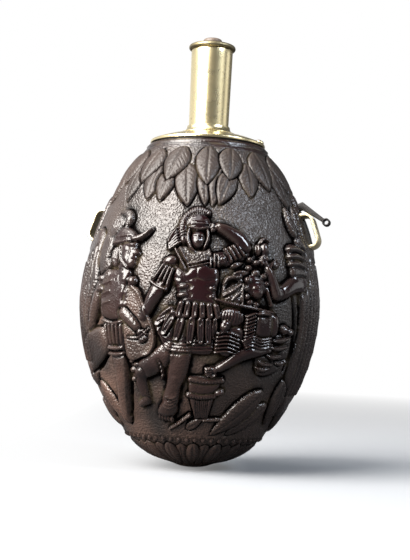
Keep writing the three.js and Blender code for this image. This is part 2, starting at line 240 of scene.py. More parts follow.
card = node(tree, "MixShader", (glow_share, surface.outputs[0], glow))
connect(tree, tree.nodes["Material Output"], {"Surface": card})
floor.data.materials.append(card_material)
print("floor", FLOOR_SIZE, "m wide")

# %% [markdown]
# The nut's outline comes from the CAD: its belly, its height and the radius of the sawn
# edge. Two half eggs with their own tapers make it, as in the CAD model. All carving is
# written on the unrolled nut: x is the distance round the belly from the middle of the
# front, in millimetres, and z the height.

# %% The nut's outline
_, shell_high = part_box("coconut_shell")
BELLY_RADIUS = shell_high.x / MM
SAWN_HEIGHT = shell_high.z / MM
BELLY_HEIGHT = 54.2
SAWN_RADIUS = 19.6
BOTTOM_TAPER = 1.9
CROWN_TAPER = 1.62
SHELL_WALL = 4.5
CIRCUIT = 2 * pi * BELLY_RADIUS
FRONT_ANGLE = CAMERA_TURN - pi / 2

crown_height = SAWN_HEIGHT - BELLY_HEIGHT
tip_length = crown_height / (1 - (SAWN_RADIUS / BELLY_RADIUS) ** 2) ** (1 / CROWN_TAPER)


def egg_radius(height, inset=0.0):
    above = np.asarray(height, float) - BELLY_HEIGHT
    below_share = np.abs(above / (BELLY_HEIGHT - inset)) ** BOTTOM_TAPER
    above_share = np.abs(above / (tip_length - inset)) ** CROWN_TAPER
    share = 1 - np.where(above < 0, below_share, above_share)
    return (BELLY_RADIUS - inset) * np.sqrt(np.maximum(share, 0))


print("nut", round(BELLY_RADIUS, 1), "x", round(SAWN_HEIGHT, 1), "mm")

# %% [markdown]
# A carver lowers the ground and leaves the figures standing. Here the ground is a height map
# round the whole nut: zero is the lowered ground, and GROUND_DEPTH above it is the old skin.
# Columns lie closer together on the front, where the fine work is. Code is used instead of
# sculpting by hand, because every stroke can then be named, measured and changed.

# %% The height map
GROUND_DEPTH = 1.8
COLUMNS = 900
OUTER_RINGS = 500
FRONT_CROWDING = 0.34
PROFILE_STEPS = 400

even = np.linspace(-pi, pi, COLUMNS, endpoint=False)
column_angle = even - FRONT_CROWDING * np.sin(even)
column_x = column_angle * BELLY_RADIUS
profile_heights = np.concatenate([
    BELLY_HEIGHT * (1 - np.cos(np.linspace(0, pi / 2, PROFILE_STEPS))),
    BELLY_HEIGHT + crown_height * np.linspace(0, 1, PROFILE_STEPS)[1:],
])
profile_steps = np.hypot(np.diff(profile_heights), np.diff(egg_radius(profile_heights)))
profile_length = np.concatenate([[0], np.cumsum(profile_steps)])
ring_height = np.interp(np.linspace(0, profile_length[-1], OUTER_RINGS), profile_length, profile_heights)
ring_shrink = egg_radius(ring_height) / BELLY_RADIUS
relief = np.zeros((OUTER_RINGS, COLUMNS))
polish = np.zeros((OUTER_RINGS, COLUMNS))
print("height map", relief.shape, "ring step", round(profile_length[-1] / OUTER_RINGS, 2), "mm")

# %% [markdown]
# The nut's skin can't be laid flat as a whole, but a small part of it can. A window takes the part
# of the map near some points and gives it flat coordinates in millimetres, so that a stroke keeps
# its width where the nut narrows. One flat sheet round the whole nut would squeeze both ends.

# %% A flat window on the map
NARROWEST = 0.15


def wrapped(x):
    return (x + CIRCUIT / 2) % CIRCUIT - CIRCUIT / 2


def shrink_at(height):
    return float(egg_radius(height)) / BELLY_RADIUS


def window(points, margin):
    """The map near some points: its index, its flat coordinates, and the points laid flat."""
    xs = [x for x, _ in points]
    zs = [z for _, z in points]
    middle_x = (min(xs) + max(xs)) / 2
    middle_z = (min(zs) + max(zs)) / 2
    ends = (min(zs) - margin, min(max(zs) + margin, SAWN_HEIGHT))
    narrowest = max(NARROWEST, min(shrink_at(z) for z in ends))
    reach_x = (max(xs) - min(xs)) / 2 + margin / narrowest
    reach_z = (max(zs) - min(zs)) / 2 + margin
    rows = np.nonzero(np.abs(ring_height - middle_z) < reach_z)[0]
    columns = np.nonzero(np.abs(wrapped(column_x - middle_x)) < reach_x)[0]
    v = (ring_height[rows] - middle_z)[:, None]
    u = wrapped(column_x[columns] - middle_x)[None, :] * ring_shrink[rows][:, None]
    flat = [((x - middle_x) * shrink_at(z), z - middle_z) for x, z in points]
    return np.ix_(rows, columns), u, v + 0 * u, flat


print("map step", round(float(np.diff(column_x).min()), 2), "to", round(float(np.diff(column_x).max()), 2))

# %% [markdown]
# A stroke has a spine and a half width, and a plate has an outline. A few points are enough for
# either, because a smooth curve is led through them, as a bent lath would go. The other functions
# here measure how far each point of the window lies from a stroke or an outline.

# %% Strokes and outlines
FAR = 1e9
TINY = 1e-9
THINNEST = 0.05


def smooth_line(points, closed=False, steps=5):
    """A soft curve through a few points, as a bent lath gives."""
    pts = np.array(points, float)
    if len(pts) < 3:
        return pts
    if closed:
        pts = np.vstack([pts[-1], pts, pts[0], pts[1]])
    else:
        pts = np.vstack([2 * pts[0] - pts[1], pts, 2 * pts[-1] - pts[-2]])
    t = np.linspace(0, 1, steps, endpoint=False)[:, None]
    out = []
    for a, b, c, d in zip(pts, pts[1:], pts[2:], pts[3:]):
        bend = 2 * a - 5 * b + 4 * c - d
        twist = 3 * b - a - 3 * c + d
        out.append(0.5 * (2 * b + (c - a) * t + bend * t ** 2 + twist * t ** 3))
    if not closed:
        out.append(pts[-2:-1])
    return np.vstack(out)


def to_stroke(points, half_widths):
    """Smooths a spine together with its half widths."""
    widths = np.full(len(points), half_widths, float) if np.isscalar(half_widths) else half_widths
    line = smooth_line([(x, z, w) for (x, z), w in zip(points, widths)])
    return [(x, z) for x, z, _ in line], np.maximum(line[:, 2], THINNEST)


def across_stroke(u, v, flat, widths):
    """How far each point lies outside a stroke, and its share of the half width."""
    outside = np.full(u.shape, FAR)
    share = np.full(u.shape, FAR)
    for (ax, az), (bx, bz), wa, wb in zip(flat, flat[1:], widths, widths[1:]):
        length = max((bx - ax) ** 2 + (bz - az) ** 2, TINY)
        t = np.clip(((u - ax) * (bx - ax) + (v - az) * (bz - az)) / length, 0, 1)
        gap = np.hypot(u - ax - t * (bx - ax), v - az - t * (bz - az))
        width = wa + t * (wb - wa)
        share = np.minimum(share, gap / width)
        outside = np.minimum(outside, gap - width)
    return outside, share


def across_outline(u, v, flat):
    """How far each point lies outside a closed outline, negative inside."""
    nearest = np.full(u.shape, FAR)
    inside = np.zeros(u.shape, bool)
    for (ax, az), (bx, bz) in zip(flat, flat[1:] + flat[:1]):
        ex, ez = bx - ax, bz - az
        t = np.clip(((u - ax) * ex + (v - az) * ez) / max(ex * ex + ez * ez, TINY), 0, 1)
        nearest = np.minimum(nearest, np.hypot(u - ax - t * ex, v - az - t * ez))
        if abs(ez) > TINY:
            inside ^= ((az <= v) != (bz <= v)) & (u < ax + (v - az) / ez * ex)
    return np.where(inside, -nearest, nearest)


def blurred(values, reach):
    """A soft mean of the map, for telling hollows from edges."""
    out = values
    for axis in (0, 1):
        for _ in range(2):
            total = np.zeros_like(out)
            for step in range(-reach, reach + 1):
                total += np.roll(out, step, axis=axis)
            out = total / (2 * reach + 1)
    return out


print("strokes and outlines ready")

# %% [markdown]
# A carver cuts a line round each form first, so every form is laid over what is there with a narrow
# moat along its edge. Limbs, plates and bosses stand up, gouges only take away, and a series makes
# one cut several times. The whole scene is made of these, because each cut is then one short line:
# its points as x and z in millimetres, its half width, and its height over the ground.

# %% Raised forms and cuts
MOAT_WIDTH = 0.42
STROKE_MARGIN = 1.3
PLATE_MARGIN = 1.5
CUT_MARGIN = 0.6


def lay(place, outside, swell, top, gloss, moat):
    """Lays a form over the carving, with a moat along its edge."""
    cut = relief[place] - moat * np.exp(-(outside / MOAT_WIDTH) ** 2)
    raised = top * swell
    wins = (outside < 0) & (raised > cut)
    relief[place] = np.where(wins, raised, cut)
    polish[place] = np.where(wins, gloss, polish[place])


def limb(points, half_widths, top, gloss=1.0, power=2.0, base=0.25, moat=0.4):
    """A rounded stroke: an arm, a strap, a strand or a stem."""
    line, widths = to_stroke(points, half_widths)
    place, u, v, flat = window(line, max(widths) + STROKE_MARGIN)
    outside, share = across_stroke(u, v, flat, widths)
    swell = base + (1 - base) * np.sqrt(np.maximum(1 - np.minimum(share, 1) ** power, 0))
    lay(place, outside, swell, top, gloss, moat)


def plate(points, top, bevel, gloss=1.0, base=0.25, moat=0.4, soft=True):
    """A raised plate with a rounded edge: a shield, a garment or a body."""
    line = [tuple(p) for p in smooth_line(points, closed=True)] if soft else list(points)
    place, u, v, flat = window(line, PLATE_MARGIN)
    outside = across_outline(u, v, flat)
    depth = np.clip(-outside / bevel, 0, 1)
    swell = base + (1 - base) * np.sqrt(1 - (1 - depth) ** 2)
    lay(place, outside, swell, top, gloss, moat)


def oval(x, z, half_wide, half_high, top, lean=0.0, gloss=1.0, base=0.25, moat=0.35):
    """A boss: a head, a bead, a curl or a muscle."""
    reach = max(half_wide, half_high)
    place, u, v, _ = window([(x, z)], reach + STROKE_MARGIN)
    turn = radians(lean)
    along = u * cos(turn) + v * sin(turn)
    across = v * cos(turn) - u * sin(turn)
    share = np.hypot(along / half_wide, across / half_high)
    swell = base + (1 - base) * np.sqrt(np.maximum(1 - np.minimum(share, 1) ** 2, 0))
    lay(place, (share - 1) * min(half_wide, half_high), swell, top, gloss, moat)


def gouge(points, half_widths, depth):
    """A round-bottomed cut. A negative depth gives a ridge."""
    line, widths = to_stroke(points, half_widths)
    place, u, v, flat = window(line, max(widths) + CUT_MARGIN)
    _, share = across_stroke(u, v, flat, widths)
    relief[place] -= depth * np.maximum(1 - share ** 2, 0)


def ridge(points, half_widths, rise):
    gouge(points, half_widths, -rise)


def series(cut, count, points, steps, *sizes, **form):
    """Makes one cut several times, and moves each of its points by its own step every time."""
    for i in range(count):
        cut([(x + dx * i, z + dz * i) for (x, z), (dx, dz) in zip(points, steps)], *sizes, **form)


print("limbs, plates, bosses, gouges and series ready")

# %% [markdown]
# Leaves, faces and hands come up again and again, so each has a function of its own. A leaf is worked
# out along and across its midrib. The face is a plain one on the usual proportions, measured in its
# own size, and the hand is closed.

# %% Leaf, face and hand
LEAF_MARGIN = 1
MIDRIB_DEPTH = 0.3
MIDRIB_WIDTH = 0.36
VEIN_DEPTH = 0.12
VEIN_SLANT = 0.9
LEAF_BELLY = 0.8
LEAF_FULLNESS = 0.75


def leaf(base_point, tip, width, top, gloss=0.3, veins=9, bow=0.0, moat=0.45):
    """A laurel leaf: a domed blade with a sunk midrib and slanting veins."""
    place, u, v, flat = window([base_point, tip], width * 0.8 + LEAF_MARGIN)
    (bx, bz), (tx, tz) = flat
    length = hypot(tx - bx, tz - bz)
    ahead = ((tx - bx) / length, (tz - bz) / length)
    s = ((u - bx) * ahead[0] + (v - bz) * ahead[1]) / length
    d = (v - bz) * ahead[0] - (u - bx) * ahead[1] - bow * length * s * (1 - s)
    inside_s = np.clip(s, 0, 1)
    half = np.maximum(width / 2 * np.sin(pi * inside_s ** LEAF_BELLY) ** LEAF_FULLNESS, 1e-3)
    beyond = np.maximum(np.maximum(-s, s - 1), 0) * length
    outside = np.maximum(np.abs(d) - half, 0) + beyond
    outside = np.where((np.abs(d) < half) & (s > 0) & (s < 1), np.abs(d) - half, outside)
    share = np.minimum(np.abs(d) / half, 1)
    dome = 0.5 + 0.5 * np.sqrt(1 - share ** 2)
    spine = MIDRIB_DEPTH * np.exp(-(d / MIDRIB_WIDTH) ** 2)
    slant = (s * length - VEIN_SLANT * np.abs(d)) / (length / veins)
    vein = VEIN_DEPTH * np.clip(np.cos(2 * pi * slant) - 0.2, 0, 1) * np.clip(share * 6, 0, 1)
    fall = 0.75 + 0.25 * np.sin(pi * np.clip(inside_s * 0.9 + 0.1, 0, 1))
    lay(place, outside, dome * fall - (spine + vein) / top, top, gloss, moat)


def face(x, z, size, top, lean=0.0):
    """A calm, plain face on the usual proportions: eyes half way, nose and mouth below."""
    turn = radians(lean)

    def at(right, up):
        across = (right * cos(turn) - up * sin(turn)) * size
        return x + across / shrink_at(z), z + (right * sin(turn) + up * cos(turn)) * size

    oval(x, z, 0.78 * size, size, top, lean)
    for way in (-1, 1):
        gouge([at(way * 0.14, 0.1), at(way * 0.5, 0.1)], 0.2 * size, 0.34)
        ridge([at(way * 0.12, 0.3), at(way * 0.35, 0.36), at(way * 0.58, 0.24)], 0.1 * size, 0.16)
        ridge([at(way * 0.22, 0.08), at(way * 0.42, 0.08)], 0.1 * size, 0.26)
        gouge([at(way * 0.2, 0.075), at(way * 0.46, 0.075)], 0.045 * size, 0.12)
    ridge([at(0, 0.25), at(0, -0.05), at(0, -0.24)], [0.08 * size, 0.1 * size, 0.17 * size], 0.34)
    ridge([at(-0.22, -0.47), at(0, -0.43), at(0.22, -0.47)], 0.09 * size, 0.16)
    gouge([at(-0.26, -0.52), at(0, -0.5), at(0.26, -0.52)], 0.05 * size, 0.16)
    ridge([at(-0.16, -0.58), at(0.16, -0.58)], 0.09 * size, 0.15)
    ridge([at(-0.08, -0.8), at(0.08, -0.8)], 0.15 * size, 0.14)


def hand(x, z, size, aim, top):
    """A closed hand: a palm, four fingers side by side and a thumb."""
    turn = radians(aim)

    def at(ahead, across):
        return (x + (ahead * cos(turn) - across * sin(turn)) * size / shrink_at(z),
                z + (ahead * sin(turn) + across * cos(turn)) * size)

    oval(x, z, size, 0.85 * size, top * 0.94, aim)
    for finger in range(4):
        offset = (finger - 1.5) * 0.42
        finger_tip = at(1.5 - 0.15 * abs(finger - 1.3), offset * 1.05)
        limb([at(0.3, offset), finger_tip], 0.24 * size, top, moat=0.22)
    limb([at(-0.3, 0.75), at(0.55, 1.05)], 0.26 * size, top, moat=0.25)


print("leaf, face and hand ready")

# %% [markdown]
# Two rows of laurel hang from the rim all round the nut, and the lower row fills the gaps of
# the upper one. The leaves of the front are placed one by one, as the carver did, and the
# rest follow at an even pitch. Under them, and at the two edges of the scene, the ground is
# lowered less, so that the outline of the nut stays full there.

# %% Laurel under the rim
UPPER_LEAF_TOP = 2.1
LOWER_LEAF_TOP = 1.75
LEAF_GLOSS = -0.3
LEAF_MOAT = 0.95
COLLAR_LEVEL = 1.0
SIDE_LEVEL = 1.0
SIDE_MIDDLE = 58
SIDE_REACH = 15
FRONT_SPAN = 74
REST_START = 46
REST_LEAVES = 11
RIM_LOW = 103.8
RIM_LIP = 105.5
RIM_LEVEL = 1.3
RIM_SLOPE = 0.5
RIM_GLOSS = 0.7


def settle(low, high, level):
    """Raises a whole belt of the nut to a level, with a soft lower edge."""
    rise = np.clip((ring_height - low) / (high - low), 0, 1)[:, None]
    relief[:] = np.maximum(relief, level * rise * rise * (3 - 2 * rise))


def hang(leaves, top):
    for base_point, tip, width in leaves:
        leaf(base_point, tip, width, top, LEAF_GLOSS, moat=LEAF_MOAT)


side_share = np.exp(-((np.abs(column_x) - SIDE_MIDDLE) / SIDE_REACH) ** 2)[None, :]
relief[:] = np.maximum(relief, SIDE_LEVEL * side_share)
settle(80, 92, COLLAR_LEVEL)
front_upper = [((-28, 103.4), (-31, 91.5), 8.6), ((-13.5, 104), (-17.5, 91.8), 8.6),
               ((1, 104.2), (0.4, 90.6), 8), ((14.5, 104), (10.5, 92.5), 8), ((29, 103.4), (30, 90.5), 8.6)]
front_lower = [((-24, 98), (-24.5, 85.6), 7.6), ((-17, 96), (-18.5, 85), 6.4),
               ((-9.6, 98), (-6.6, 83.6), 8), ((-1.2, 96), (0.2, 84), 4.6), ((7.4, 101), (3, 83.8), 5.6),
               ((12.6, 96.5), (5.6, 84.4), 6.6), ((21, 99), (19.4, 87.6), 7), ((37.5, 99), (40, 86), 7.6)]
rest_pitch = (CIRCUIT - FRONT_SPAN) / REST_LEAVES
rest_places = [REST_START + rest_pitch * i for i in range(REST_LEAVES)]
rest_lower = [((x + rest_pitch / 2, 99), (x + rest_pitch / 2, 85.5), 7.8) for x in rest_places]
rest_upper = [((x, 103.8), (x, 91.5), 8.8) for x in rest_places]
hang(front_lower + rest_lower, LOWER_LEAF_TOP)
hang(front_upper + rest_upper, UPPER_LEAF_TOP)

rim_rows = ring_height > RIM_LOW
rim_slope = np.clip((ring_height[rim_rows] - RIM_LOW) / RIM_SLOPE, 0, 1)[:, None]
rim_level = np.where(ring_height[rim_rows] > RIM_LIP, GROUND_DEPTH, RIM_LEVEL)[:, None]
relief[rim_rows] = relief[rim_rows] * (1 - rim_slope) + rim_level * rim_slope
polish[rim_rows] = np.where(rim_slope > 0.5, RIM_GLOSS, polish[rim_rows])
print("leaves", len(front_lower + rest_lower + front_upper + rest_upper))

# %% [markdown]
# The middle of the front is a soldier in ancient armour: crested helmet, moulded breastplate,
# a skirt of leather tongues and laced boots. What lies behind is cut first here and what lies in
# front is laid over it. A carver goes the other way, from the skin of the nut downwards.

# %% The soldier's legs and tunic
LEG_GLOSS = 0.7
BELT_LEVEL = 1.1  # the ground rises to this below the feet, towards the beads
limb([(-9, 37.8), (-15.4, 33.6), (-21.2, 30.6)], [3.1, 3.3, 2.6], 1.95, LEG_GLOSS)
limb([(-21.2, 30.2), (-21.2, 26), (-20.3, 22.4)], [2.3, 2.0, 1.4], 1.6, LEG_GLOSS)
oval(-20.8, 31, 1.6, 1.5, 2.05, gloss=LEG_GLOSS, moat=0.12)
limb([(-20.4, 21.8), (-24, 20.4)], [1.4, 1.0], 1.4, LEG_GLOSS)
limb([(-5.2, 38), (-6.6, 32), (-8.2, 27.2), (-9.8, 22.8), (-11.2, 19.6)], [3.2, 3.1, 2.3, 2.6, 2.5], 1.95,
     LEG_GLOSS)
oval(-7.6, 29.4, 1.5, 1.4, 2.05, gloss=LEG_GLOSS, moat=0.12)
limb([(-10.6, 20.2), (-13, 18)], [2.7, 2.6], 1.9, LEG_GLOSS)
for toe in range(5):
    oval(-15.6 + 1.35 * toe, 16.8 - 0.12 * toe, 0.62, 1.0, 1.8, gloss=LEG_GLOSS)
series(ridge, 4, [(-12.8, 20.8), (-10.4, 20.3), (-7.6, 21.2)], [(0.5, 1), (0.3, 1), (0.2, 1)], 0.26, 0.3)
limb([(-13, 34.8), (-12, 31.8), (-12.3, 29.2)], [0.45, 0.55, 0.4], 2.0)
for stud in range(4):
    oval(-12.6 + 0.25 * stud, 34 - 1.25 * stud, 0.4, 0.4, 2.15)
settle(16.5, 10.5, BELT_LEVEL)
for x, z, wide in ((-24, 34.2, 1.4), (-22.6, 32.8, 1.2), (-24.2, 31.2, 1.3), (-23.4, 29.4, 1.0),
                   (-24.6, 28.2, 1.1)):
    oval(x, z, wide, 0.8, 1.0, lean=20, gloss=0.3)
plate([(-14, 45.4), (-12.6, 42), (-9.6, 37.6), (-3, 37.2), (5, 37.8), (5.4, 47), (-9, 47.4)], 1.1, 0.7)
series(ridge, 4, [(-12.6, 41.2), (-9.6, 38.6), (-3, 38.2), (4.8, 38.6)],
       [(-0.2, 0.95), (0, 0.95), (0, 0.95), (0, 0.95)], 0.34, 0.45)
print("legs cut")

# %% [markdown]
# The armour is a moulded breastplate with two rows of muscles, and under it a short and a long row of
# tongues, each with a sunk face and a raised rib. Straps come over the shoulders. Plates and
# limbs with flat tops do it, because leather and bronze have firm edges.

# %% The soldier's armour
long_tongues = [((-9, 50.4), (-13.3, 46.2), 1.3), ((-8.2, 49.4), (-11.2, 43.4), 1.25),
                ((-5.4, 48.6), (-7.1, 41.8), 1.2), ((-2.2, 48), (-2.8, 40.9), 1.15),
                ((0.5, 47.8), (0.8, 41), 1.1), ((2.9, 47.8), (3.3, 41.2), 1.1),
                ((4.9, 48), (5.1, 42.4), 0.8)]
for start, end, half in long_tongues:
    middle = ((start[0] + end[0]) / 2, (start[1] + end[1]) / 2)
    limb([start, middle, end], [half * 0.85, half * 1.1, half * 0.75], 2.1, power=5)
    gouge([(start[0] * 0.9 + end[0] * 0.1, start[1] - 0.8), (end[0], end[1] + 0.4)], half * 0.7, 0.75)
    ridge([(start[0] * 0.8 + end[0] * 0.2, start[1] - 1.6), (end[0], end[1] + 0.9)], half * 0.26, 0.42)
plate([(-8.6, 64), (-5, 62.8), (-4.4, 64.8), (1.9, 66.6), (2.6, 64.6), (5.1, 64.2), (5.7, 60.5),
       (4.9, 56.4), (5.5, 52), (0.5, 50), (-6.8, 51.6), (-6.4, 54), (-7.7, 57.5), (-8.9, 60.8)], 1.75, 2.6)
gouge([(-8.4, 60.6), (-5, 59.5), (-1.4, 60.3), (2, 59.6), (5.2, 60.8)], 0.32, 0.22)
gouge([(-1.4, 64.2), (-1.4, 60.4)], 0.25, 0.12)
for row in range(2):
    z = 57.7 - 2.6 * row
    oval(-5.3, z, 2.1, 1.0, 2.2, lean=4, moat=0.3)
    oval(3.6, z - 0.3, 1.5, 0.85, 2.0, lean=-6, moat=0.2)
for tongue in range(6):
    x = -5.7 + 2.15 * tongue
    lean = (x + 0.4) * 0.05
    limb([(x, 52.4 - 0.1 * tongue), (x + lean * 3, 49)], 1.0, 2.1, power=4)
    gouge([(x + lean, 51.6), (x + lean * 3, 49.4)], 0.42, 0.4)
limb([(-8.8, 69.2), (-6.9, 66.2), (-4.9, 62.8)], 0.52, 2.1)
limb([(-7.4, 69.8), (-5.8, 67), (-4.2, 64.2)], 0.42, 2.0)
limb([(-4.3, 64.7), (-1.2, 65.4), (2, 66.5)], 0.42, 2.0)
limb([(-4.1, 63.6), (-1.2, 64.3), (2.2, 65.3)], 0.32, 1.95)
series(limb, 3, [(2.8, 68.4), (2.9, 64.5)], [(1.15, -0.2), (1.25, 0)], 0.5, 2.0)
print("armour cut")

# %% [markdown]
# One arm hangs down towards the shield and the other is bent up, with its hand at the helmet. Short
# strips of leather hang from both shoulders. The arm goes in first and the strips over it.

# %% The soldier's arms
limb([(-10.4, 64.6), (-12.8, 58.6)], [2.5, 2.4], 1.3)
oval(-10.5, 65.4, 2.5, 1.8, 1.9, lean=20)
series(limb, 4, [(-9.2, 63), (-10.8, 57)], [(-1.05, 0.35), (-1.4, 0.95)], 0.66, 2.05)
limb([(-13.6, 57), (-15.4, 53.6), (-17.2, 49.8), (-18.2, 47.8)], [2.4, 2.2, 1.7, 1.4], 2.1)
limb([(-15.9, 58.9), (-13.4, 57.4), (-10.9, 56.5)], 0.6, 2.2)
limb([(5.2, 66.6), (10, 67.6), (14.2, 69.6)], [2.3, 2.3, 2.1], 1.5)
series(limb, 4, [(7.6, 69.8), (9.6, 66.2)], [(1.35, 0.6), (1.45, 0.7)], 0.58, 2.0)
limb([(15, 70.8), (12.6, 73.4), (8.2, 75.8), (5, 76.8)], [1.7, 2.2, 1.9, 1.3], 2.25)
hand(3.7, 76.6, 1.1, 165, 2.2)
oval(6.5, 66.6, 1.8, 1.8, 2.0)
gouge([(5.6, 66.6), (6.5, 67.4), (7.4, 66.6), (6.5, 65.8), (5.6, 66.6)], 0.2, 0.25)
print("arms cut")

# %% [markdown]
# The helmet is a round bowl with three bands and a brush of stiff hair over it, and its cheek pieces
# frame the face. The hairs are fine gouges that fan out from one middle.

# %% The soldier's head


def fan(x, z, inner, outer, angles, half_width, depth):
    """Cuts fine lines that spread from one middle, between two radii."""
    for turn in map(radians, angles):
        gouge([(x + r * cos(turn), z + r * sin(turn)) for r in (inner, outer)], half_width, depth)


series(limb, 6, [(-7.1, 72), (-9.4, 70.6), (-11.3, 69.2)], [(-0.2, 0.98), (-0.2, 0.8), (-0.1, 0.5)],
       [0.5, 0.48, 0.28], 1.5, moat=0.3)
plate([(-8.2, 69.8), (-5.4, 70.4), (-3.2, 69.4), (0.4, 69.2), (2.4, 70), (2.5, 66.9), (-4.2, 65),
       (-7, 67.6)], 1.2, 1.0, gloss=0.15)
limb([(-6.3, 72.4), (-7, 76.4), (-5.7, 79.5), (-2.4, 81.5), (1.4, 81.2)], [1.3, 1.7, 1.75, 1.7, 1.0], 1.9,
     power=4)
fan(-1.9, 76.4, 4.0, 7.2, [212 - 8.6 * hair for hair in range(19)], 0.22, 0.5)
oval(-1.7, 77.6, 3.7, 3.2, 2.15)
series(ridge, 3, [(-4.9, 76.45), (-1.7, 76.15), (1.6, 76.55)], [(0.25, 0.95), (0, 0.95), (-0.25, 0.95)],
       0.32, 0.4)
face(-1.7, 72.7, 2.9, 2.15)
limb([(-4.8, 75.6), (-5.1, 72.8), (-3.8, 69.8), (-2.5, 68.7)], [0.5, 0.72, 0.6, 0.35], 2.1)
limb([(1.4, 75.8), (1.7, 73), (0.6, 70)], [0.4, 0.6, 0.4], 2.05)
limb([(-5, 76.1), (-1.7, 75.6), (1.7, 76.3)], 0.4, 2.35)
print("head cut")

# %% [markdown]
# On the right two more figures lean in. The first has curly hair and a wide cloak, and lifts an arm
# with a fruit on its twig. The cloak runs round the side of the nut, so its folds are long limbs
# with shallow moats.

# %% The figure with the fruit
plate([(38, 60), (39, 76), (46, 79), (51, 72), (55, 56), (56, 40), (55, 27), (48, 18), (41, 21), (37.6, 32),
       (39, 44), (37.8, 54)], 2.0, 2.6, gloss=0.45)
series(limb, 5, [(41, 72), (41.6, 50), (42, 26)], [(2.9, -1.2), (2.9, 0), (2.6, 0)], [0.9, 1.3, 0.9], 2.2,
       0.45, moat=0.35)
for x, z, lean_x in ((39.5, 86, -2.6), (43, 87, 0.6), (46.5, 85.6, 3)):
    leaf((x, z - 10), (x + lean_x, z), 4.6, 2.0, gloss=0.4, veins=6)
plate([(33, 72.8), (38, 73.8), (43, 72), (44, 63), (38, 59.6), (33.6, 62.6), (33, 66.4)], 1.9, 1.4,
      gloss=0.7)
series(limb, 3, [(33.2, 71.8), (37, 72.3), (42, 71.4)], 3 * [(0, -2.4)], [0.8, 1.1, 0.8], 2.2, 0.7)
gouge([(34.2, 57), (36, 50), (37, 42), (35.8, 33)], [0.9, 1.4, 1.5, 0.8], 1.2)
plate([(20.6, 41), (27, 44), (34, 44.6), (35, 38), (31, 32.4), (22.4, 31.8)], 1.2, 2.0, gloss=0.5)
limb([(39, 61), (34, 60.4), (29.6, 58.2), (26.2, 56.8)], [2.7, 2.6, 2.3, 2.1], 2.1)
limb([(22, 63.4), (22.2, 58), (24, 53.2)], [0.6, 0.55, 0.4], 1.5)
limb([(26, 57), (24.4, 60.8), (22.8, 65.2)], [2.1, 1.8, 1.3], 2.3)
hand(21.6, 66.8, 1.5, 105, 2.2)
oval(21.9, 71, 1.7, 2.3, 2.2)
limb([(20.2, 72.6), (21.8, 74), (24, 73.2)], [0.3, 0.5, 0.3], 2.1)
oval(19.5, 70.6, 0.8, 1.8, 1.9)
oval(16.2, 67.2, 1.2, 0.9, 1.8)
oval(18.4, 66.4, 1.3, 0.9, 1.95)
gouge([(17.3, 72.2), (17.4, 69.4)], [0.8, 0.9], 1.3)
limb([(23.4, 65.2), (25, 66.8), (26.8, 68)], [0.45, 0.4, 0.25], 1.7)
leaf((24.8, 66), (28.6, 66.8), 1.7, 1.6, gloss=0.8, veins=4)
leaf((10, 62), (16, 63.4), 2.0, 1.7, gloss=0.9, veins=4)
leaf((9.4, 64.6), (13.8, 66.2), 1.6, 1.5, gloss=0.8, veins=4)
oval(18.2, 59.4, 3.9, 3.9, 1.8)
curls = [(15.2, 60.8, 1.3), (14.3, 58.2, 1.3), (14.6, 55.6, 1.25), (16, 53.8, 1.2), (18.2, 53.2, 1.1),
         (20.8, 62.2, 1.2), (18, 63, 1.4), (15.6, 64.6, 1.0), (22, 60, 1.0), (30.6, 46, 1.9),
         (33.4, 45.4, 1.6)]
for x, z, size in curls:
    oval(x, z, size, size * 0.85, 2.0)
    gouge([(x - 0.55 * size, z), (x - 0.1, z + 0.45 * size), (x + 0.45 * size, z), (x, z - 0.3 * size)],
          0.2, 0.4)
face(18.5, 57.7, 2.7, 2.25, lean=14)
print("figure with the fruit cut, curls", len(curls))

# %% [markdown]
# The second figure bows under a close cap, in a gown with raised bands, and stretches an arm towards
# the drum. Drapery fills the space between the two, behind a staff that lies across it.

# %% The bowing figure
plate([(7.4, 60.4), (10, 61.8), (13.4, 61.8), (13.4, 53), (7.2, 53.4), (6.8, 57)], 1.0, 0.9, gloss=0.4)
gouge([(8, 58), (9.6, 59.6), (11.6, 60)], [0.5, 0.9, 0.5], 0.9)
plate([(7.4, 54.6), (10, 56.6), (13, 58.8), (13.2, 53.4), (9, 53.4)], 1.7, 1.0, gloss=0.5)
drapery = [((7, 55.4), (9.8, 57), (12.9, 59.4)), ((13.4, 59.4), (13, 56.4), (13.4, 53.2)),
           ((7.2, 59.2), (8.8, 61), (12.8, 61.5)), ((9.6, 54), (11, 55.4), (12.4, 56.8))]
for fold in drapery:
    limb(fold, [0.3, 0.75, 0.4], 1.9, gloss=0.45, moat=0.25)
limb([(4.8, 54.2), (9, 53.2), (14, 52.6), (18, 52), (24.4, 51)], [0.5, 0.55, 0.6, 0.65, 0.6], 2.0)
plate([(18.4, 49.8), (23, 50.6), (27, 49.8), (27.2, 44.4), (23, 43), (18.2, 43.6)], 2.0, 2.0, gloss=0.9)
gouge([(24.2, 49.2), (24.5, 44.2)], 0.7, 0.5)
limb([(18.6, 50.4), (20.6, 50.7), (23.4, 50.4)], [0.5, 0.85, 0.5], 2.3)
plate([(6, 45), (13.6, 46), (14.8, 40), (10.4, 36.6), (5.6, 39)], 1.6, 1.8)
series(limb, 6, [(6, 43.8), (9.4, 44.3), (13.2, 43.2)], [(-0.1, -1.15), (0, -1.15), (0.1, -1.15)], 0.42,
       1.95)
series(limb, 7, [(15.2, 49.4), (18.1, 50.6)], 2 * [(0, -1.05)], 0.46, 1.95)
oval(10.2, 49, 4.1, 2.9, 2.1, lean=-8)
series(gouge, 9, [(6.6, 46.8), (6.8, 49.2), (7.75, 51.6)], [(0.95, 0.12), (0.95, 0), (0.7125, 0)], 0.2,
       0.36)
face(8.4, 46.3, 2.2, 2.1, lean=-26)
limb([(24.4, 40.4), (20.6, 39.4), (15.4, 37.6), (10.6, 34.8), (7.4, 33)], [2.2, 2.3, 2.0, 1.6, 1.3], 2.15)
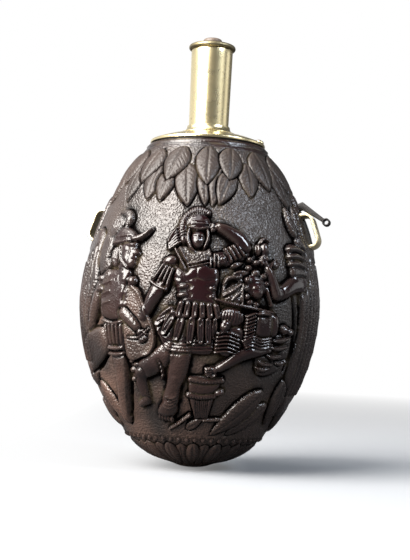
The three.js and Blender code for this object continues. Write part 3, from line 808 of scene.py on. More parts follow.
series(limb, 4, [(14.6, 41.8), (18, 43.4), (21, 42.6), (24.6, 43.2)],
       [(0.4, -0.6), (0, -0.9), (0, -0.9), (0, -0.9)], 0.5, 2.15)
hand(5.6, 32.2, 1.6, 194, 2.25)
cloth = [((26, 42.4), (29.6, 42.6), (33.4, 43.6)), ((25.4, 40.2), (29, 40), (32.6, 40.8)),
         ((24.6, 37.8), (27.4, 37.2), (30.4, 37.8)), ((21.6, 35.8), (24, 34.8), (27, 35)),
         ((21.4, 33.8), (24, 33.2), (26.4, 33.8)), ((29, 35.6), (31.4, 35.4), (33.4, 36.4))]
for fold in cloth:
    limb(fold, [0.4, 0.95, 0.4], 1.9, gloss=0.7)
print("bowing figure cut, folds", len(cloth))

# %% [markdown]
# On the left a second soldier stands in profile, in a peaked helmet with a curved plume and with a
# cloak that runs round the side. The profile is one plate with a chosen outline, and its eye, brow
# and cheek are laid on it.

# %% The left-hand soldier's cloak and head
plate([(-40.5, 66), (-44, 75), (-50, 77), (-56, 70), (-59, 52), (-58.5, 34), (-53, 25), (-47, 29),
       (-42.5, 36), (-42, 45), (-40.5, 56)], 1.9, 3, gloss=0.45)
series(limb, 4, [(-45, 70), (-45.6, 52), (-47, 34)], [(-3, -1.5), (-3, 0), (-2.6, 0)], [0.9, 1.4, 0.9],
       2.15, 0.45, moat=0.3)
oval(-38, 69, 4.4, 8.6, 1.75, lean=6, gloss=0.35)
gouge([(-34.6, 73.6), (-34.2, 70), (-35.4, 66)], [0.4, 0.7, 0.4], 0.7)
oval(-34.4, 77.6, 5.2, 4.4, 1.8, lean=10, gloss=0.4)
limb([(-30, 76.4), (-29.6, 79), (-31.6, 80.8), (-35, 81.2)], [1.0, 1.5, 1.5, 0.8], 1.95, gloss=0.5,
     moat=0.25)
series(gouge, 7, [(-37.6, 80.4), (-38.4, 76.4)], [(1, -0.1), (7 / 6, 0)], [0.2, 0.3], 0.26)
oval(-31.8, 67.4, 2.7, 3.8, 1.75, gloss=0.8)
series(gouge, 5, [(-33.6, 70.6), (-34, 67.6), (-33.2, 64.4)], [(0.8, 0), (0.9, 0), (0.7, 0)], 0.22, 0.36)
limb([(-27.6, 63.8), (-26.6, 60.4)], [2.4, 2.7], 1.85)
plate([(-23.9, 71.8), (-23.3, 69.5), (-21.7, 67.8), (-22.8, 67), (-22.6, 66.2), (-22.9, 65.6),
       (-22.9, 64.4), (-24.4, 63), (-28.2, 63.4), (-30, 66.4), (-29.8, 71.4)], 2.0, 2.0)
oval(-26.6, 66.4, 1.7, 2.2, 2.25, moat=0.08)
gouge([(-25.8, 69.3), (-24.2, 69.2)], 0.55, 0.4)
ridge([(-25.6, 69.2), (-24.5, 69.15)], 0.26, 0.3)
ridge([(-26.2, 70.4), (-23.9, 70.3)], 0.3, 0.25)
gouge([(-22.6, 66), (-24.2, 65.9)], 0.2, 0.3)
oval(-29.3, 67.8, 0.7, 1.2, 2.2, moat=0.25)
limb([(-30.2, 70.4), (-28.8, 66), (-25.4, 63)], 0.4, 2.2, moat=0.25)
plate([(-34.6, 70.2), (-34, 74.4), (-31, 76.6), (-27, 75.6), (-24, 73.4), (-24.2, 71.6), (-29, 70.8)], 2.1,
      2.0)
ridge([(-34.2, 70.9), (-29, 71.3), (-24.4, 72.2)], 0.5, 0.4)
ridge([(-33.6, 72.8), (-29.4, 73.2), (-25.4, 73.4)], 0.4, 0.3)
plate([(-26.4, 72.9), (-22.6, 74), (-18.4, 76), (-18.9, 74.4), (-21.6, 72.2), (-25, 71.5)], 2.0, 0.8)
print("cloak and head cut")

# %% [markdown]
# The body is a broad plate with muscles laid on it, and the legs stand behind a long shield with a
# raised edge. A hand grips the shield by its strap.

# %% The left-hand soldier's body and shield
limb([(-34, 61), (-37.4, 57.8), (-41, 51), (-43.8, 44.6)], [2.0, 2.5, 2.2, 1.7], 2.0, 0.7)
plate([(-33, 62.6), (-26.6, 62.2), (-23.7, 60), (-23.6, 55), (-24.3, 51.4), (-26.2, 49.4), (-26.8, 46.2),
       (-35.6, 47), (-37.2, 53), (-36.4, 59)], 1.85, 3)
oval(-37.3, 59.8, 1.8, 1.3, 2.2, moat=0.2)
oval(-37, 56.4, 2.5, 1.2, 2.3, moat=0.25)
for x, z in ((-33.4, 58.4), (-33.8, 55.2), (-33.6, 52)):
    ridge([(x - 1.8, z - 0.4), (x, z), (x + 2.4, z + 0.6)], [0.3, 0.6, 0.3], 0.35)
gouge([(-36.2, 51.8), (-38.4, 49), (-40.8, 45.8)], [0.7, 1.1, 0.7], 1.3)
for z in (59.6, 55.4, 51.4):
    oval(-26, z, 1.9, 1.7, 2.05, moat=0.12)
oval(-23.1, 58.8, 1.7, 1.8, 2.3)
limb([(-35, 46.6), (-30.6, 45.4), (-26.4, 46.2)], [0.7, 0.9, 0.7], 2.15)
series(limb, 5, [(-33.8, 44.8), (-33.6, 41), (-33, 37.6)], [(1.75, 0), (1.7, 0), (1.55, 0)],
       [0.85, 0.85, 0.75], 1.95, power=3)
plate([(-35, 36.8), (-42, 32.8), (-50, 31), (-52, 38), (-45, 43), (-36, 44)], 1.6, 2.0, gloss=0.4)
gouge([(-35, 36), (-42, 31.8), (-50, 29.8)], [0.5, 0.8, 0.7], 0.9)
limb([(-29.8, 36), (-30, 30), (-31.6, 24.6), (-34.8, 19), (-37.4, 15.4)], [2.9, 2.9, 2.7, 2.5, 1.9], 1.75,
     gloss=0.55)
series(limb, 2, [(-33.2, 38), (-30, 37.8), (-26.8, 38.2)], 3 * [(0, -1.8)], [0.6, 0.9, 0.6], 2.1)
gouge([(-26, 35.6), (-26.3, 30), (-27.7, 25), (-30.6, 19.6), (-33.8, 16.2)], [0.9, 1.2, 1.2, 1.0, 0.5], 1.2)
plate([(-25.2, 56.6), (-22, 57.4), (-19.7, 55.4), (-17, 49.6), (-14.8, 45), (-14, 40.4), (-15.8, 36.8),
       (-19, 35.4), (-25.8, 35.8)], 1.2, 0.5, gloss=0.05)
ridge([(-22.6, 57), (-20, 55), (-17.3, 49.4), (-15.2, 45), (-14.6, 40.6), (-16.2, 37.2), (-19, 36)], 0.55,
      0.55)
series(gouge, 6, [(-24.6, 40), (-23.6, 36.6)], [(0.9, -0.3), (0.9, 0)], 0.14, 0.12)
limb([(-25.6, 48.8), (-22.8, 46.6), (-20.6, 44.6)], [2.1, 1.9, 1.5], 2.1, 0.7)
hand(-19.2, 42.6, 1.7, -60, 2.2)
limb([(-24, 41.4), (-20, 41.6), (-16.2, 44.4)], 0.42, 1.8)
print("body and shield cut")

# %% [markdown]
# Below the figures stands a fluted drum with two beaded bands, between palm leaves. The leaves go on
# round the sides and the back in crossed pairs, because a carver fills what is left over.

# %% Drum and palm leaves
plate([(-2.6, 30.2), (9.8, 30.2), (7.6, 24.6), (5.8, 16.4), (0.2, 16.4), (-2.8, 24.4)], 1.2, 1.2, gloss=0.7,
      soft=False)
series(gouge, 7, [(0.2, 22.8), (0.8, 17.2)], [(0.8, 0), (0.72, 0)], 0.3, 0.35)
for band_z, start, end in ((29.2, -2.2, 9.4), (24.3, -2.8, 7.4)):
    limb([(start, band_z), ((start + end) / 2, band_z - 0.5), (end, band_z)], 0.8, 1.5, gloss=0.8, power=4)
    for bead in range(11):
        share = bead / 10
        oval(start + (end - start) * share, band_z - 2 * share * (1 - share), 0.36, 0.36, 1.75, gloss=0.8,
             moat=0.12)
limb([(2.4, 16.2), (13.4, 16.6)], 0.45, 1.1, gloss=0.4)
oval(9, 25.4, 1.7, 1.0, 1.8, lean=12)
limb([(-12.6, 13), (-7, 15.2), (-2.2, 17.8)], [0.3, 0.5, 0.5], 1.5, gloss=0.5)
leaf((-4, 13.2), (3.4, 16.6), 2.6, 1.3, veins=5)
leaf((33, 22), (17, 11.6), 5.6, 1.5, veins=11)
leaf((27.6, 26.4), (8.4, 11.6), 7.2, 1.75, veins=15)
leaf((37, 30), (41, 15), 6, 1.7, veins=11)
leaf((-47, 27), (-37, 13.4), 6, 1.7, veins=11)
for i in range(9):
    x = 53 + (CIRCUIT - 108) * i / 8
    leaf((x + 8, 22), (x - 3, 12.4), 5, 1.6, veins=9)
    leaf((x - 5, 21), (x + 6, 12.4), 6, 1.85, veins=11)
print("drum and palm leaves cut")

# %% [markdown]
# A string of beads closes the scene, on a raised band, and two rings of pointed leaves cover the
# bottom of the nut. Both are laid out by dividing the circuit, as with a pair of compasses.

# %% Beads and the bottom of the nut
BEAD_HEIGHT = 9.9
BEADS = 54
BAND_HALF = 1.5
BAND_LEVEL = 1.35
BAND_EDGE = 2.5
BOTTOM_LEAVES = 16
band_share = np.clip(1 - np.abs(ring_height - BEAD_HEIGHT) / BAND_HALF, 0, 1)[:, None]
band_mix = np.minimum(band_share * BAND_EDGE, 1)
relief[:] = relief * (1 - band_mix) + BAND_LEVEL * band_mix
for bead in range(BEADS):
    oval(wrapped(CIRCUIT * bead / BEADS + 1), BEAD_HEIGHT, 0.85, 0.8, 1.9, gloss=0.6, moat=0.25)
for shift, root_z, tip_z, width, top in ((0.5, 8.4, 0.5, 5.4, 1.85), (0, 8.8, 1.4, 4.6, 2.15)):
    for i in range(BOTTOM_LEAVES):
        x = wrapped(CIRCUIT * (i + shift) / BOTTOM_LEAVES)
        leaf((x, root_z), (x, tip_z), width, top, veins=7)
print("beads", BEADS, "bottom leaves", 2 * BOTTOM_LEAVES)

# %% [markdown]
# The photograph doesn't show the back. Flasks of this kind usually carry a trophy there: a
# round shield on crossed spears with banners, a helmet above and laurel at the sides. Each half
# is the mirror of the other, so one loop cuts both.

# %% The back
BACK = 116.6
BOSS = 52
for way in (-1, 1):
    limb([(BACK - way * 17, 27), (BACK + way * 19, 84)], 0.75, 1.3)
    leaf((BACK + way * 17.6, 79.5), (BACK + way * 21.4, 87), 3.6, 1.6, gloss=1.0, veins=3)
    plate([(BACK + way * 10, 73), (BACK + way * 27, 79), (BACK + way * 29, 69), (BACK + way * 23, 64),
           (BACK + way * 12, 63)], 1.1, 0.8)
    series(limb, 4, [(BACK + way * 13, 73.4), (BACK + way * 14, 65)], [(way * 3.6, 1.2), (way * 3.4, 0.6)],
           [0.9, 0.6], 1.6)
    limb([(BACK + way * 6, 25), (BACK + way * 20, 30), (BACK + way * 27, 42), (BACK + way * 28, 58)],
         [0.7, 0.7, 0.6, 0.4], 1.4, gloss=0.5)
    for pair in range(6):
        t = pair / 5
        stem_x = 12 + 16.5 * t ** 0.6
        stem_z = 27.5 + 29 * t ** 1.3
        leaf((BACK + way * stem_x, stem_z), (BACK + way * (stem_x + 5.4), stem_z + 4.6), 3.2, 1.5, veins=5)
        leaf((BACK + way * stem_x, stem_z), (BACK + way * (stem_x - 4.2), stem_z + 6.4), 3.0, 1.5, veins=5)
oval(BACK, BOSS, 13, 13, 1.9, gloss=0.8)
circle = [radians(15 * i) for i in range(25)]
for radius, half, depth in ((11.4, 0.5, 0.5), (4.4, 0.45, 0.5)):
    gouge([(BACK + radius * cos(a) / shrink_at(BOSS), BOSS + radius * sin(a)) for a in circle], half, depth)
for petal in range(12):
    angle = radians(30 * petal)
    root, tip = [(BACK + r * cos(angle), BOSS + r * sin(angle)) for r in (4.8, 10.6)]
    leaf(root, tip, 2.4, 2.3, gloss=0.9, veins=4)
oval(BACK, BOSS, 3.4, 3.4, 2.35)
limb([(BACK - 6.5, 70.5), (BACK - 7.4, 76.5), (BACK - 3, 81.4), (BACK + 4, 81)], [1.0, 1.4, 1.5, 0.9], 1.7,
     power=4)
fan(BACK - 1, 75, 5.2, 7.6, [200 - 9.5 * hair for hair in range(15)], 0.22, 0.4)
oval(BACK, 73.6, 5, 4.8, 2.05)
limb([(BACK - 5.2, 70.6), (BACK, 69.6), (BACK + 6.4, 70.8)], 0.7, 2.2)
for way in (-1, 1):
    limb([(BACK + way * 4, 69.6), (BACK + way * 3.4, 66.4)], [1.2, 0.8], 1.9)
for way in (-1, 1):
    trunk = BACK + way * 42
    limb([(trunk, 24), (trunk + way * 1.5, 48), (trunk, 68)], [2.6, 2.0, 1.7], 1.6, gloss=0.6)
    series(gouge, 13, [(trunk - 2.6, 26), (trunk + 0.5, 25), (trunk + 3.4, 26)], 3 * [(0, 3.2)], 0.28, 0.34)
    for frond in range(7):
        angle = radians(-20 + 36.5 * frond)
        root = (trunk + 1.5 * cos(angle), 69 + sin(angle))
        tip = (trunk + 11 * cos(angle), 70 + 9.5 * sin(angle))
        leaf(root, tip, 3.4, 1.6, veins=9, bow=0.12 * cos(angle))
print("back cut")

# %% [markdown]
# A laurel branch stands on each side of the scene. Round the legs of the strap loops and the root of
# the hook the carver left the skin of the nut standing as small pads, so that the metal has sound
# shell to sit on. They are cut last, because they lie over everything else.

# %% Side branches and pads for the fittings
LOOP_PLACES = (-FRONT_ANGLE * BELLY_RADIUS, wrapped((pi - FRONT_ANGLE) * BELLY_RADIUS))
PAD_HALF = 6.6
PAD_BACK = 15
HIGHEST = GROUND_DEPTH + 0.6


def branch(x, low, high, pairs):
    """An upright laurel branch with pairs of leaves."""
    limb([(x, low), (x + 0.8, (low + high) / 2), (x, high)], [0.8, 0.7, 0.4], 1.7, gloss=0.5)
    for pair in range(pairs):
        z = low + (high - low) * (pair + 0.3) / pairs
        for way in (-1, 1):
            leaf((x + way * 0.6, z), (x + way * 6.4 / shrink_at(z), z + 6.2), 4.0, 2.0, gloss=0.4, veins=6)


branch(64.5, 24, 70, 8)
branch(LOOP_PLACES[1] + 4, 24, 66, 7)
for x in LOOP_PLACES:
    pad = [(x - PAD_HALF, 71.6), (x + PAD_BACK, 70.6), (x + PAD_BACK, 88), (x - PAD_HALF, 87)]
    plate(pad, GROUND_DEPTH, 1.4, gloss=0.4)
    edge = x + PAD_BACK
    border = [(edge - 9, 72.6), (edge - 2.4, 73.2), (edge - 0.8, 79.3), (edge - 2.4, 85.4), (edge - 9, 86)]
    gouge(border, [0.2, 0.5, 0.5, 0.5, 0.2], 0.5)
hook_x = LOOP_PLACES[0]
hook_pad = [(hook_x - 4.4, 84), (hook_x + 4.4, 84), (hook_x + 4, 91), (hook_x - 4, 91)]
plate(hook_pad, GROUND_DEPTH, 1.4, gloss=0.5)
oval(hook_x + 8.4, 79, 6, 8, HIGHEST, gloss=0.4, base=0.7, moat=0)
print("pads", len(LOOP_PLACES) + 1)

# %% [markdown]
# The left edge of the scene is rubbed less, so it is duller. Fine uneven marks of the tools stay on
# the whole nut, fainter where it is polished. At the very bottom a smooth button of the old skin is
# left, where the nut rests in the hand.

# %% Rubbing and tool marks
DULL_MIDDLE = -37
DULL_REACH = 12
DULLING = 0.35
TOOL_MARK = 0.02
MARK_REACH = 3
MARK_FADE = 0.6
LOWEST = -1.1
BUTTON_HEIGHT = 1.3
BUTTON_EDGE = 1.1
dull_share = np.exp(-((column_x - DULL_MIDDLE) / DULL_REACH) ** 2)[None, :]
polish = np.where(polish > 0, polish * (1 - DULLING * dull_share), polish)
marks = blurred(np.random.default_rng(7).standard_normal(relief.shape), MARK_REACH)
relief += TOOL_MARK * marks / marks.std() * (1 - MARK_FADE * polish)
relief = np.clip(relief, LOWEST, HIGHEST)
button_share = np.clip((BUTTON_HEIGHT - ring_height) / BUTTON_HEIGHT * BUTTON_EDGE, 0, 1)[:, None]
relief = relief + (GROUND_DEPTH - relief) * button_share * button_share * (3 - 2 * button_share)
print("highest", round(float(relief.max()), 2), "lowest", round(float(relief.min()), 2), "mm")

# %% [markdown]
# Dirt with painted shade in the hollows, and wear with a painted highlight on the edges, follow
# the height of the carving. A place that lies below the mean of its near neighbours is a hollow,
# and one that lies above it is an edge. A wider mean makes crowded places deeper still, so the
# painted shade between the figures is darker. The material could look for hollows by itself, but
# a value at each vertex is cheaper.

# %% Hollows and edges
EDGE_REACH = 3
CROWD_REACH = 10
CROWD_EASE = 0.1
CROWD_SHARE = 0.4
# Crowded places deepen the hollows, and so darken the painted shade between the figures.
crowding = np.minimum(relief - blurred(relief, CROWD_REACH) + CROWD_EASE, 0)
hollow_map = relief - blurred(relief, EDGE_REACH) + CROWD_SHARE * crowding
print("deepest hollow", round(float(hollow_map.min()), 2))

# %% [markdown]
# The hollow nut starts as a flat grid, which is rolled up. Its rows are led up the outer wall, over
# the sawn edge and down the inner wall, and the outer ones take the carved height. The Decimate
# modifier then thins the flat ground and the smooth inside and keeps the fine work.

# %% The carved nut
INNER_RINGS = 60
TRIANGLES = 196000
MERGE_GAP = 1e-7
POLE_SLOPE = 1e6
INSIDE_VALUE = 0.4
rings = OUTER_RINGS + INNER_RINGS - 1


def deselect():
    if bpy.context.object and bpy.context.object.mode != "OBJECT":
        bpy.ops.object.mode_set(mode="OBJECT")
    bpy.ops.object.select_all(action="DESELECT")


def apply_all(piece):
    bpy.context.view_layer.objects.active = piece
    for modifier in list(piece.modifiers):
        bpy.ops.object.modifier_apply(modifier=modifier.name)


def face_out():
    """Turns every face of the piece in edit mode outwards, and leaves edit mode."""
    bpy.ops.mesh.select_all(action="SELECT")
    bpy.ops.mesh.normals_make_consistent(inside=False)
    bpy.ops.object.mode_set(mode="OBJECT")


deselect()
bpy.ops.mesh.primitive_grid_add(x_subdivisions=COLUMNS, y_subdivisions=rings, size=2)
nut = bpy.context.object
nut.name = "carved_coconut"
flat_grid = np.zeros(len(nut.data.vertices) * 3)
nut.data.vertices.foreach_get("co", flat_grid)
flat_grid = flat_grid.reshape(-1, 3)
column_of = np.rint((flat_grid[:, 0] + 1) / 2 * COLUMNS).astype(int) % COLUMNS
ring_of = np.rint((flat_grid[:, 1] + 1) / 2 * rings).astype(int)
outer = ring_of < OUTER_RINGS
outer_ring = np.minimum(ring_of, OUTER_RINGS - 1)
inner_share = np.clip((ring_of - OUTER_RINGS) / (INNER_RINGS - 1), 0, 1)
inner_height = SHELL_WALL + (SAWN_HEIGHT - SHELL_WALL) * np.cos(inner_share * pi / 2)
inner_radius = egg_radius(inner_height, SHELL_WALL)
wall_radius = np.where(outer, ring_shrink[outer_ring] * BELLY_RADIUS, inner_radius)
slope = np.gradient(egg_radius(ring_height), ring_height)
slope[0] = POLE_SLOPE
tilt = np.arctan(slope)[outer_ring]
lowering = np.where(outer, GROUND_DEPTH - relief[outer_ring, column_of], 0)
skin_radius = np.maximum(wall_radius - lowering * np.cos(tilt), 0)
skin_height = np.where(outer, ring_height[outer_ring], inner_height) + lowering * np.sin(tilt)
skin_angle = column_angle[column_of] + FRONT_ANGLE
skin_x = skin_radius * np.cos(skin_angle)
skin_y = skin_radius * np.sin(skin_angle)
carved = np.stack([skin_x, skin_y, skin_height], 1) * MM
nut.data.vertices.foreach_set("co", carved.ravel())
for name, values in (("polish", polish), ("hollow", hollow_map)):
    layer = nut.data.attributes.new(name, "FLOAT", "POINT")
    layer_values = np.where(outer, values[outer_ring, column_of], INSIDE_VALUE)
    layer.data.foreach_set("value", layer_values.astype(np.float32))
nut.data.update()
bpy.ops.object.mode_set(mode="EDIT")
bpy.ops.mesh.select_all(action="SELECT")
bpy.ops.mesh.remove_doubles(threshold=MERGE_GAP)
face_out()
thin = nut.modifiers.new("thin", "DECIMATE")
thin.ratio = TRIANGLES / (2 * COLUMNS * rings)
apply_all(nut)
bpy.ops.object.shade_smooth()
print("nut triangles", sum(len(p.vertices) - 2 for p in nut.data.polygons))

# %% [markdown]
# Oiled coconut shell is close, hard and almost black when polished, with a red glow where it is
# thin. The ground is punched with a small tool, so it looks grey and dull. The hollows are matt and
# near black, with dirt and with painted shade, dust lies in some of them, and the raised edges are
# painted paler, for handling wear and for a painted highlight. A paler brown low on the left is
# partly the shell's own tone and partly painted light on the lit side. The material lays these over
# each other as coats, and the two values of each vertex say how much of each coat there is.

# %% Carved coconut shell
PUNCH = 0.62 * MM
PUNCH_SOFTNESS = 0.6
STIPPLE_DEPTH = 0.3 * MM
MOTTLE = 7 * MM
PATCH = 28 * MM
SHELL_IOR = 1.54


def carved_coconut():
    """Grey punched ground, near-black polished figures, and matt hollows of dirt and painted shade."""
    material, tree, surface, place = new_material("carved coconut shell, punched ground and rubbed figures")
    shine = node(tree, "Attribute", output="Fac", attribute_name="polish")
    hollow = node(tree, "Attribute", output="Fac", attribute_name="hollow")
    mottle = node(tree, "TexNoise", {"Vector": place, "Scale": 1 / MOTTLE, "Detail": 3.0})
    patch = node(tree, "TexNoise", {"Vector": place, "Scale": 1 / PATCH, "Detail": 2.0})
    dents = {"Vector": place, "Scale": 1 / PUNCH, "Smoothness": PUNCH_SOFTNESS}
    punch = node(tree, "TexVoronoi", dents, "Distance", feature="SMOOTH_F1")
    lift = node(tree, "SeparateXYZ", (place,), "Z")
    rightwards = node(tree, "VectorMath", (place, level_right), "Value", operation="DOT_PRODUCT")

    # A share goes from its third number to its fourth while its source goes from the first to the second
    shares = {}
    for name, source, low, high, at_low, at_high in (
        ("low", lift, 0.028, 0.062, 1.0, 0.12),
        ("left", rightwards, -0.022, 0.01, 1.0, 0.15),
        ("patch", patch, 0.4, 0.58, 0.0, 1.0),
        # Hollows take a near-black colour: dirt, and painted shade where light would not reach.
        ("dirt and painted shade", hollow, -0.3, -0.04, 1.0, 0.0),
        ("dust", hollow, -0.2, -0.02, 1.0, 0.0),
        ("dusty place", mottle, 0.5, 0.66, 0.0, 0.5),
        # Raised edges go paler: handling wear, and a painted highlight.
        ("wear and painted highlight", hollow, 0.06, 0.4, 0.0, 0.25),
        ("matt skin", shine, -0.5, 1.0, 0.46, 0.14),
        ("matt hollow", hollow, -0.42, -0.1, 0.8, 0.1),
        ("punched", shine, 0.0, 1.0, 0.9, 0.1),
        ("not leaf", shine, -0.3, 0.0, 0.4, 1.0),
        ("leaf sheen", shine, -0.35, 0.0, 0.26, 0.52),
        ("figure sheen", shine, 0.3, 1.0, 1.0, 0.88),
        ("open", hollow, -0.42, -0.06, 0.0, 1.0),
    ):
        shares[name] = node(tree, "MapRange", (source, low, high, at_low, at_high))
    for name, first, second in (
        ("low left", "low", "left"),
        # A paler brown low on the left: the shell's own tone, and painted light on the lit side.
        ("brown patch and painted light", "patch", "low left"),
        ("dusty hollow", "dust", "dusty place"),
        ("dented", "punched", "not leaf"),
        ("sheen", "leaf sheen", "figure sheen"),
        ("mirror", "sheen", "open"),
    ):
        shares[name] = node(tree, "Math", (shares[first], shares[second]), operation="MULTIPLY")

    reds = {0: mottle, 6: linear("#080505"), 7: linear("#1d070b")}
    figure = node(tree, "Mix", reds, 2, data_type="RGBA")
    coat = linear("#1b1614")
    for share, colour in (
        (mottle, linear("#2c2522")),
        # Paler brown low on the left, partly painted light on the lit side.
        (shares["brown patch and painted light"], linear("#604a40")),
        (shine, figure),
        # Near black in the hollows: dirt, and painted shade.
        (shares["dirt and painted shade"], linear("#080606")),
        (shares["dusty hollow"], linear("#544a3c")),
        # Paler edges: wear, and a painted highlight.
        (shares["wear and painted highlight"], linear("#4a403a")),
    ):
        coat = node(tree, "Mix", {0: share, 6: coat, 7: colour}, 2, data_type="RGBA")
    matt = node(tree, "Math", (shares["matt skin"], shares["matt hollow"]), operation="MAXIMUM")
    stipple = node(tree, "Math", (punch, shares["dented"]), operation="MULTIPLY")
    bump = node(tree, "Bump", {"Height": stipple, "Distance": STIPPLE_DEPTH, "Strength": 1.0})
    connect(tree, surface, {"Base Color": coat, "Roughness": matt, "Normal": bump})
    connect(tree, surface, {"Specular IOR Level": shares["mirror"], "IOR": SHELL_IOR})
    return material


def paint(piece, material):
    piece.data.materials.clear()
    piece.data.materials.append(material)


def dress(piece, body, slot, material, *nodes):
    """Gives a finished piece its material, its body and the CAD nodes that it stands for."""
    paint(piece, material)
    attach(piece, body)
    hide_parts(*nodes)


dress(nut, "flask", "coconut_shell", carved_coconut(), "coconut_shell")
print("nut dressed")

# %% [markdown]
# The cap, spout and rings are brass, spun and soldered, then polished and handled for years.
# Spinning leaves faint rings round the axis, and handling leaves smears, which blur the mirror here
# and there, and dark spots. The strip of the loops is rubbed bright and has no spin rings, and the
# wire round the mouth is painted a dark brown copy of the brass, as painted shade. One function
# makes all three from their colours.

# %% Brass
SPIN_PITCH = 2.5133 * MM
WAVE_LENGTH = pi / 10
SPIN_DEPTH = 0.02 * MM
SMEAR = 5 * MM
SPOT = 1.6 * MM
SPOT_EDGE = (0.66, 0.74)
SMEAR_ROUGHNESS = 0.16


def brass_sheet(name, pale, deep, spot_share, spinning, rough_low):
    """A pale gold mirror, blurred by smears and broken by dark spots."""
    material, tree, surface, place = new_material(name)
    smear = node(tree, "TexNoise", {"Vector": place, "Scale": 1 / SMEAR, "Detail": 4.0})
    spots = node(tree, "TexNoise", {"Vector": place, "Scale": 1 / SPOT, "Detail": 2.0})
    spin_lines = {"Vector": place, "Scale": WAVE_LENGTH / SPIN_PITCH, "Distortion": 1.5, "Detail": 2.0}
    spun = node(tree, "TexWave", spin_lines, "Fac", wave_type="BANDS", bands_direction="Z")
    spotted = node(tree, "MapRange", (spots, *SPOT_EDGE, 0.0, spot_share))
    tone = node(tree, "Mix", {0: smear, 6: linear(pale), 7: linear(deep)}, 2, data_type="RGBA")
    aged = node(tree, "Mix", {0: spotted, 6: tone, 7: linear("#8d7a4e")}, 2, data_type="RGBA")
    rough = node(tree, "MapRange", (smear, 0.0, 1.0, rough_low, rough_low + SMEAR_ROUGHNESS))
    bump = node(tree, "Bump", {"Height": spun, "Distance": SPIN_DEPTH, "Strength": spinning})
    connect(tree, surface, {"Base Color": aged, "Roughness": rough, "Normal": bump, "Metallic": 1.0})
    return material


brass = brass_sheet("brass sheet, spun and polished, handled", "#e5d9b2", "#d8c798", 0.45, 0.3, 0.2)
strip_brass = brass_sheet("brass strip, bent and rubbed bright", "#e6dcbc", "#dccda4", 0.1, 0.0, 0.36)
# The mouth wire is a darker copy of the brass: painted shade.
shade_painted_brass = brass_sheet("brass wire, painted dark as shaded", "#8f866c", "#6c6349", 0.5, 0.0, 0.36)
for name in ("rove_left_upper", "rove_left_lower", "rove_right_upper", "rove_right_lower", "spout_flange"):
    paint(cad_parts[name], brass)
print("three kinds of brass")

# %% [markdown]
# The hook is wrought iron, left with its forge scale, so it is almost black, uneven and only
# glints. The stopper is boxwood with a fine upright grain, dulled by handling. The cap sits in
# pitch, a plain dark brown mass that hardly shows. Each has its own noise, at its real size.

# %% Iron, boxwood and pitch
FORGE_SCALE = 1.2 * MM
SCALE_DEPTH = 0.08 * MM
FIBRE = 0.5 * MM
FIBRE_STRETCH = (1.0, 1.0, 0.12)
FIBRE_DEPTH = 0.05 * MM
PITCH_LUMP = 0.9 * MM


def forged_iron():
    """Near-black metal with a broken, scaly glint."""
    material, tree, surface, place = new_material("wrought iron strip, forged and browned")
    scale = node(tree, "TexNoise", {"Vector": place, "Scale": 1 / FORGE_SCALE, "Detail": 5.0})
    tones = {0: scale, 6: linear("#0b0a0a"), 7: linear("#1f1b1a")}
    tone = node(tree, "Mix", tones, 2, data_type="RGBA")
    rough = node(tree, "MapRange", (scale, 0.0, 1.0, 0.3, 0.6))
    bump = node(tree, "Bump", {"Height": scale, "Distance": SCALE_DEPTH, "Strength": 0.6})
    connect(tree, surface, {"Base Color": tone, "Roughness": rough, "Normal": bump, "Metallic": 0.25})
    return material


def turned_boxwood():
    """Dull grey-brown wood with fine upright fibres."""
    material, tree, surface, place = new_material("boxwood, turned and worn by handling")
    stretch = node(tree, "Mapping", {"Vector": place, "Scale": FIBRE_STRETCH})
    fibre = node(tree, "TexNoise", {"Vector": stretch, "Scale": 1 / FIBRE, "Detail": 4.0})
    tones = {0: fibre, 6: linear("#4a3f38"), 7: linear("#64564a")}
    tone = node(tree, "Mix", tones, 2, data_type="RGBA")
    bump = node(tree, "Bump", {"Height": fibre, "Distance": FIBRE_DEPTH, "Strength": 0.5})
    connect(tree, surface, {"Base Color": tone, "Roughness": 0.5, "Normal": bump})
    return material


def set_pitch():
    """A plain brown-black mass."""
    material, tree, surface, place = new_material("set pitch")
    lumps = node(tree, "TexNoise", {"Vector": place, "Scale": 1 / PITCH_LUMP, "Detail": 3.0})
    tones = {0: lumps, 6: linear("#0e0b09"), 7: linear("#241b16")}
    tone = node(tree, "Mix", tones, 2, data_type="RGBA")
    connect(tree, surface, {"Base Color": tone, "Roughness": 0.6})
    return material


iron = forged_iron()
boxwood = turned_boxwood()
paint(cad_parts["cap_bedding"], set_pitch())
print("iron, boxwood and pitch ready")

# %% [markdown]
# Round pieces are turned: one vertex is drawn out along half the outline, spun about the axis and
# closed, and its sharp edges are eased with a bevel. This is Blender's lathe. Drawing the line and
# easing the edges are functions of their own, because bent strips need them too.

# %% The lathe
LATHE_STEPS = 96
LATHE_GAP = 1e-6
TURNED_EDGE = 40
STRIP_EDGE = 50
SMOOTH_ANGLE = radians(50)


def draw_line(name, points):
    """A new piece: one vertex drawn out along a line of points, all selected in edit mode."""
    deselect()
    bpy.ops.mesh.primitive_plane_add(size=MM)
    piece = bpy.context.object
    piece.name = name
    bpy.ops.object.mode_set(mode="EDIT")
    bpy.ops.mesh.select_all(action="SELECT")
    bpy.ops.mesh.merge(type="CENTER")
    bpy.ops.transform.translate(value=points[0])
    for here, there in zip(points, points[1:]):
        step = tuple(b - a for a, b in zip(here, there))
        bpy.ops.mesh.extrude_vertices_move(TRANSFORM_OT_translate={"value": step})
    bpy.ops.mesh.select_all(action="SELECT")
    return piece


def ease_edges(piece, width, sharper_than):
    """Rounds the edges that turn by more than an angle in degrees, and applies all modifiers."""
    bevel = piece.modifiers.new("ease", "BEVEL")
    bevel.width = width
    bevel.segments = 3
    bevel.limit_method = "ANGLE"
    bevel.angle_limit = radians(sharper_than)
    apply_all(piece)


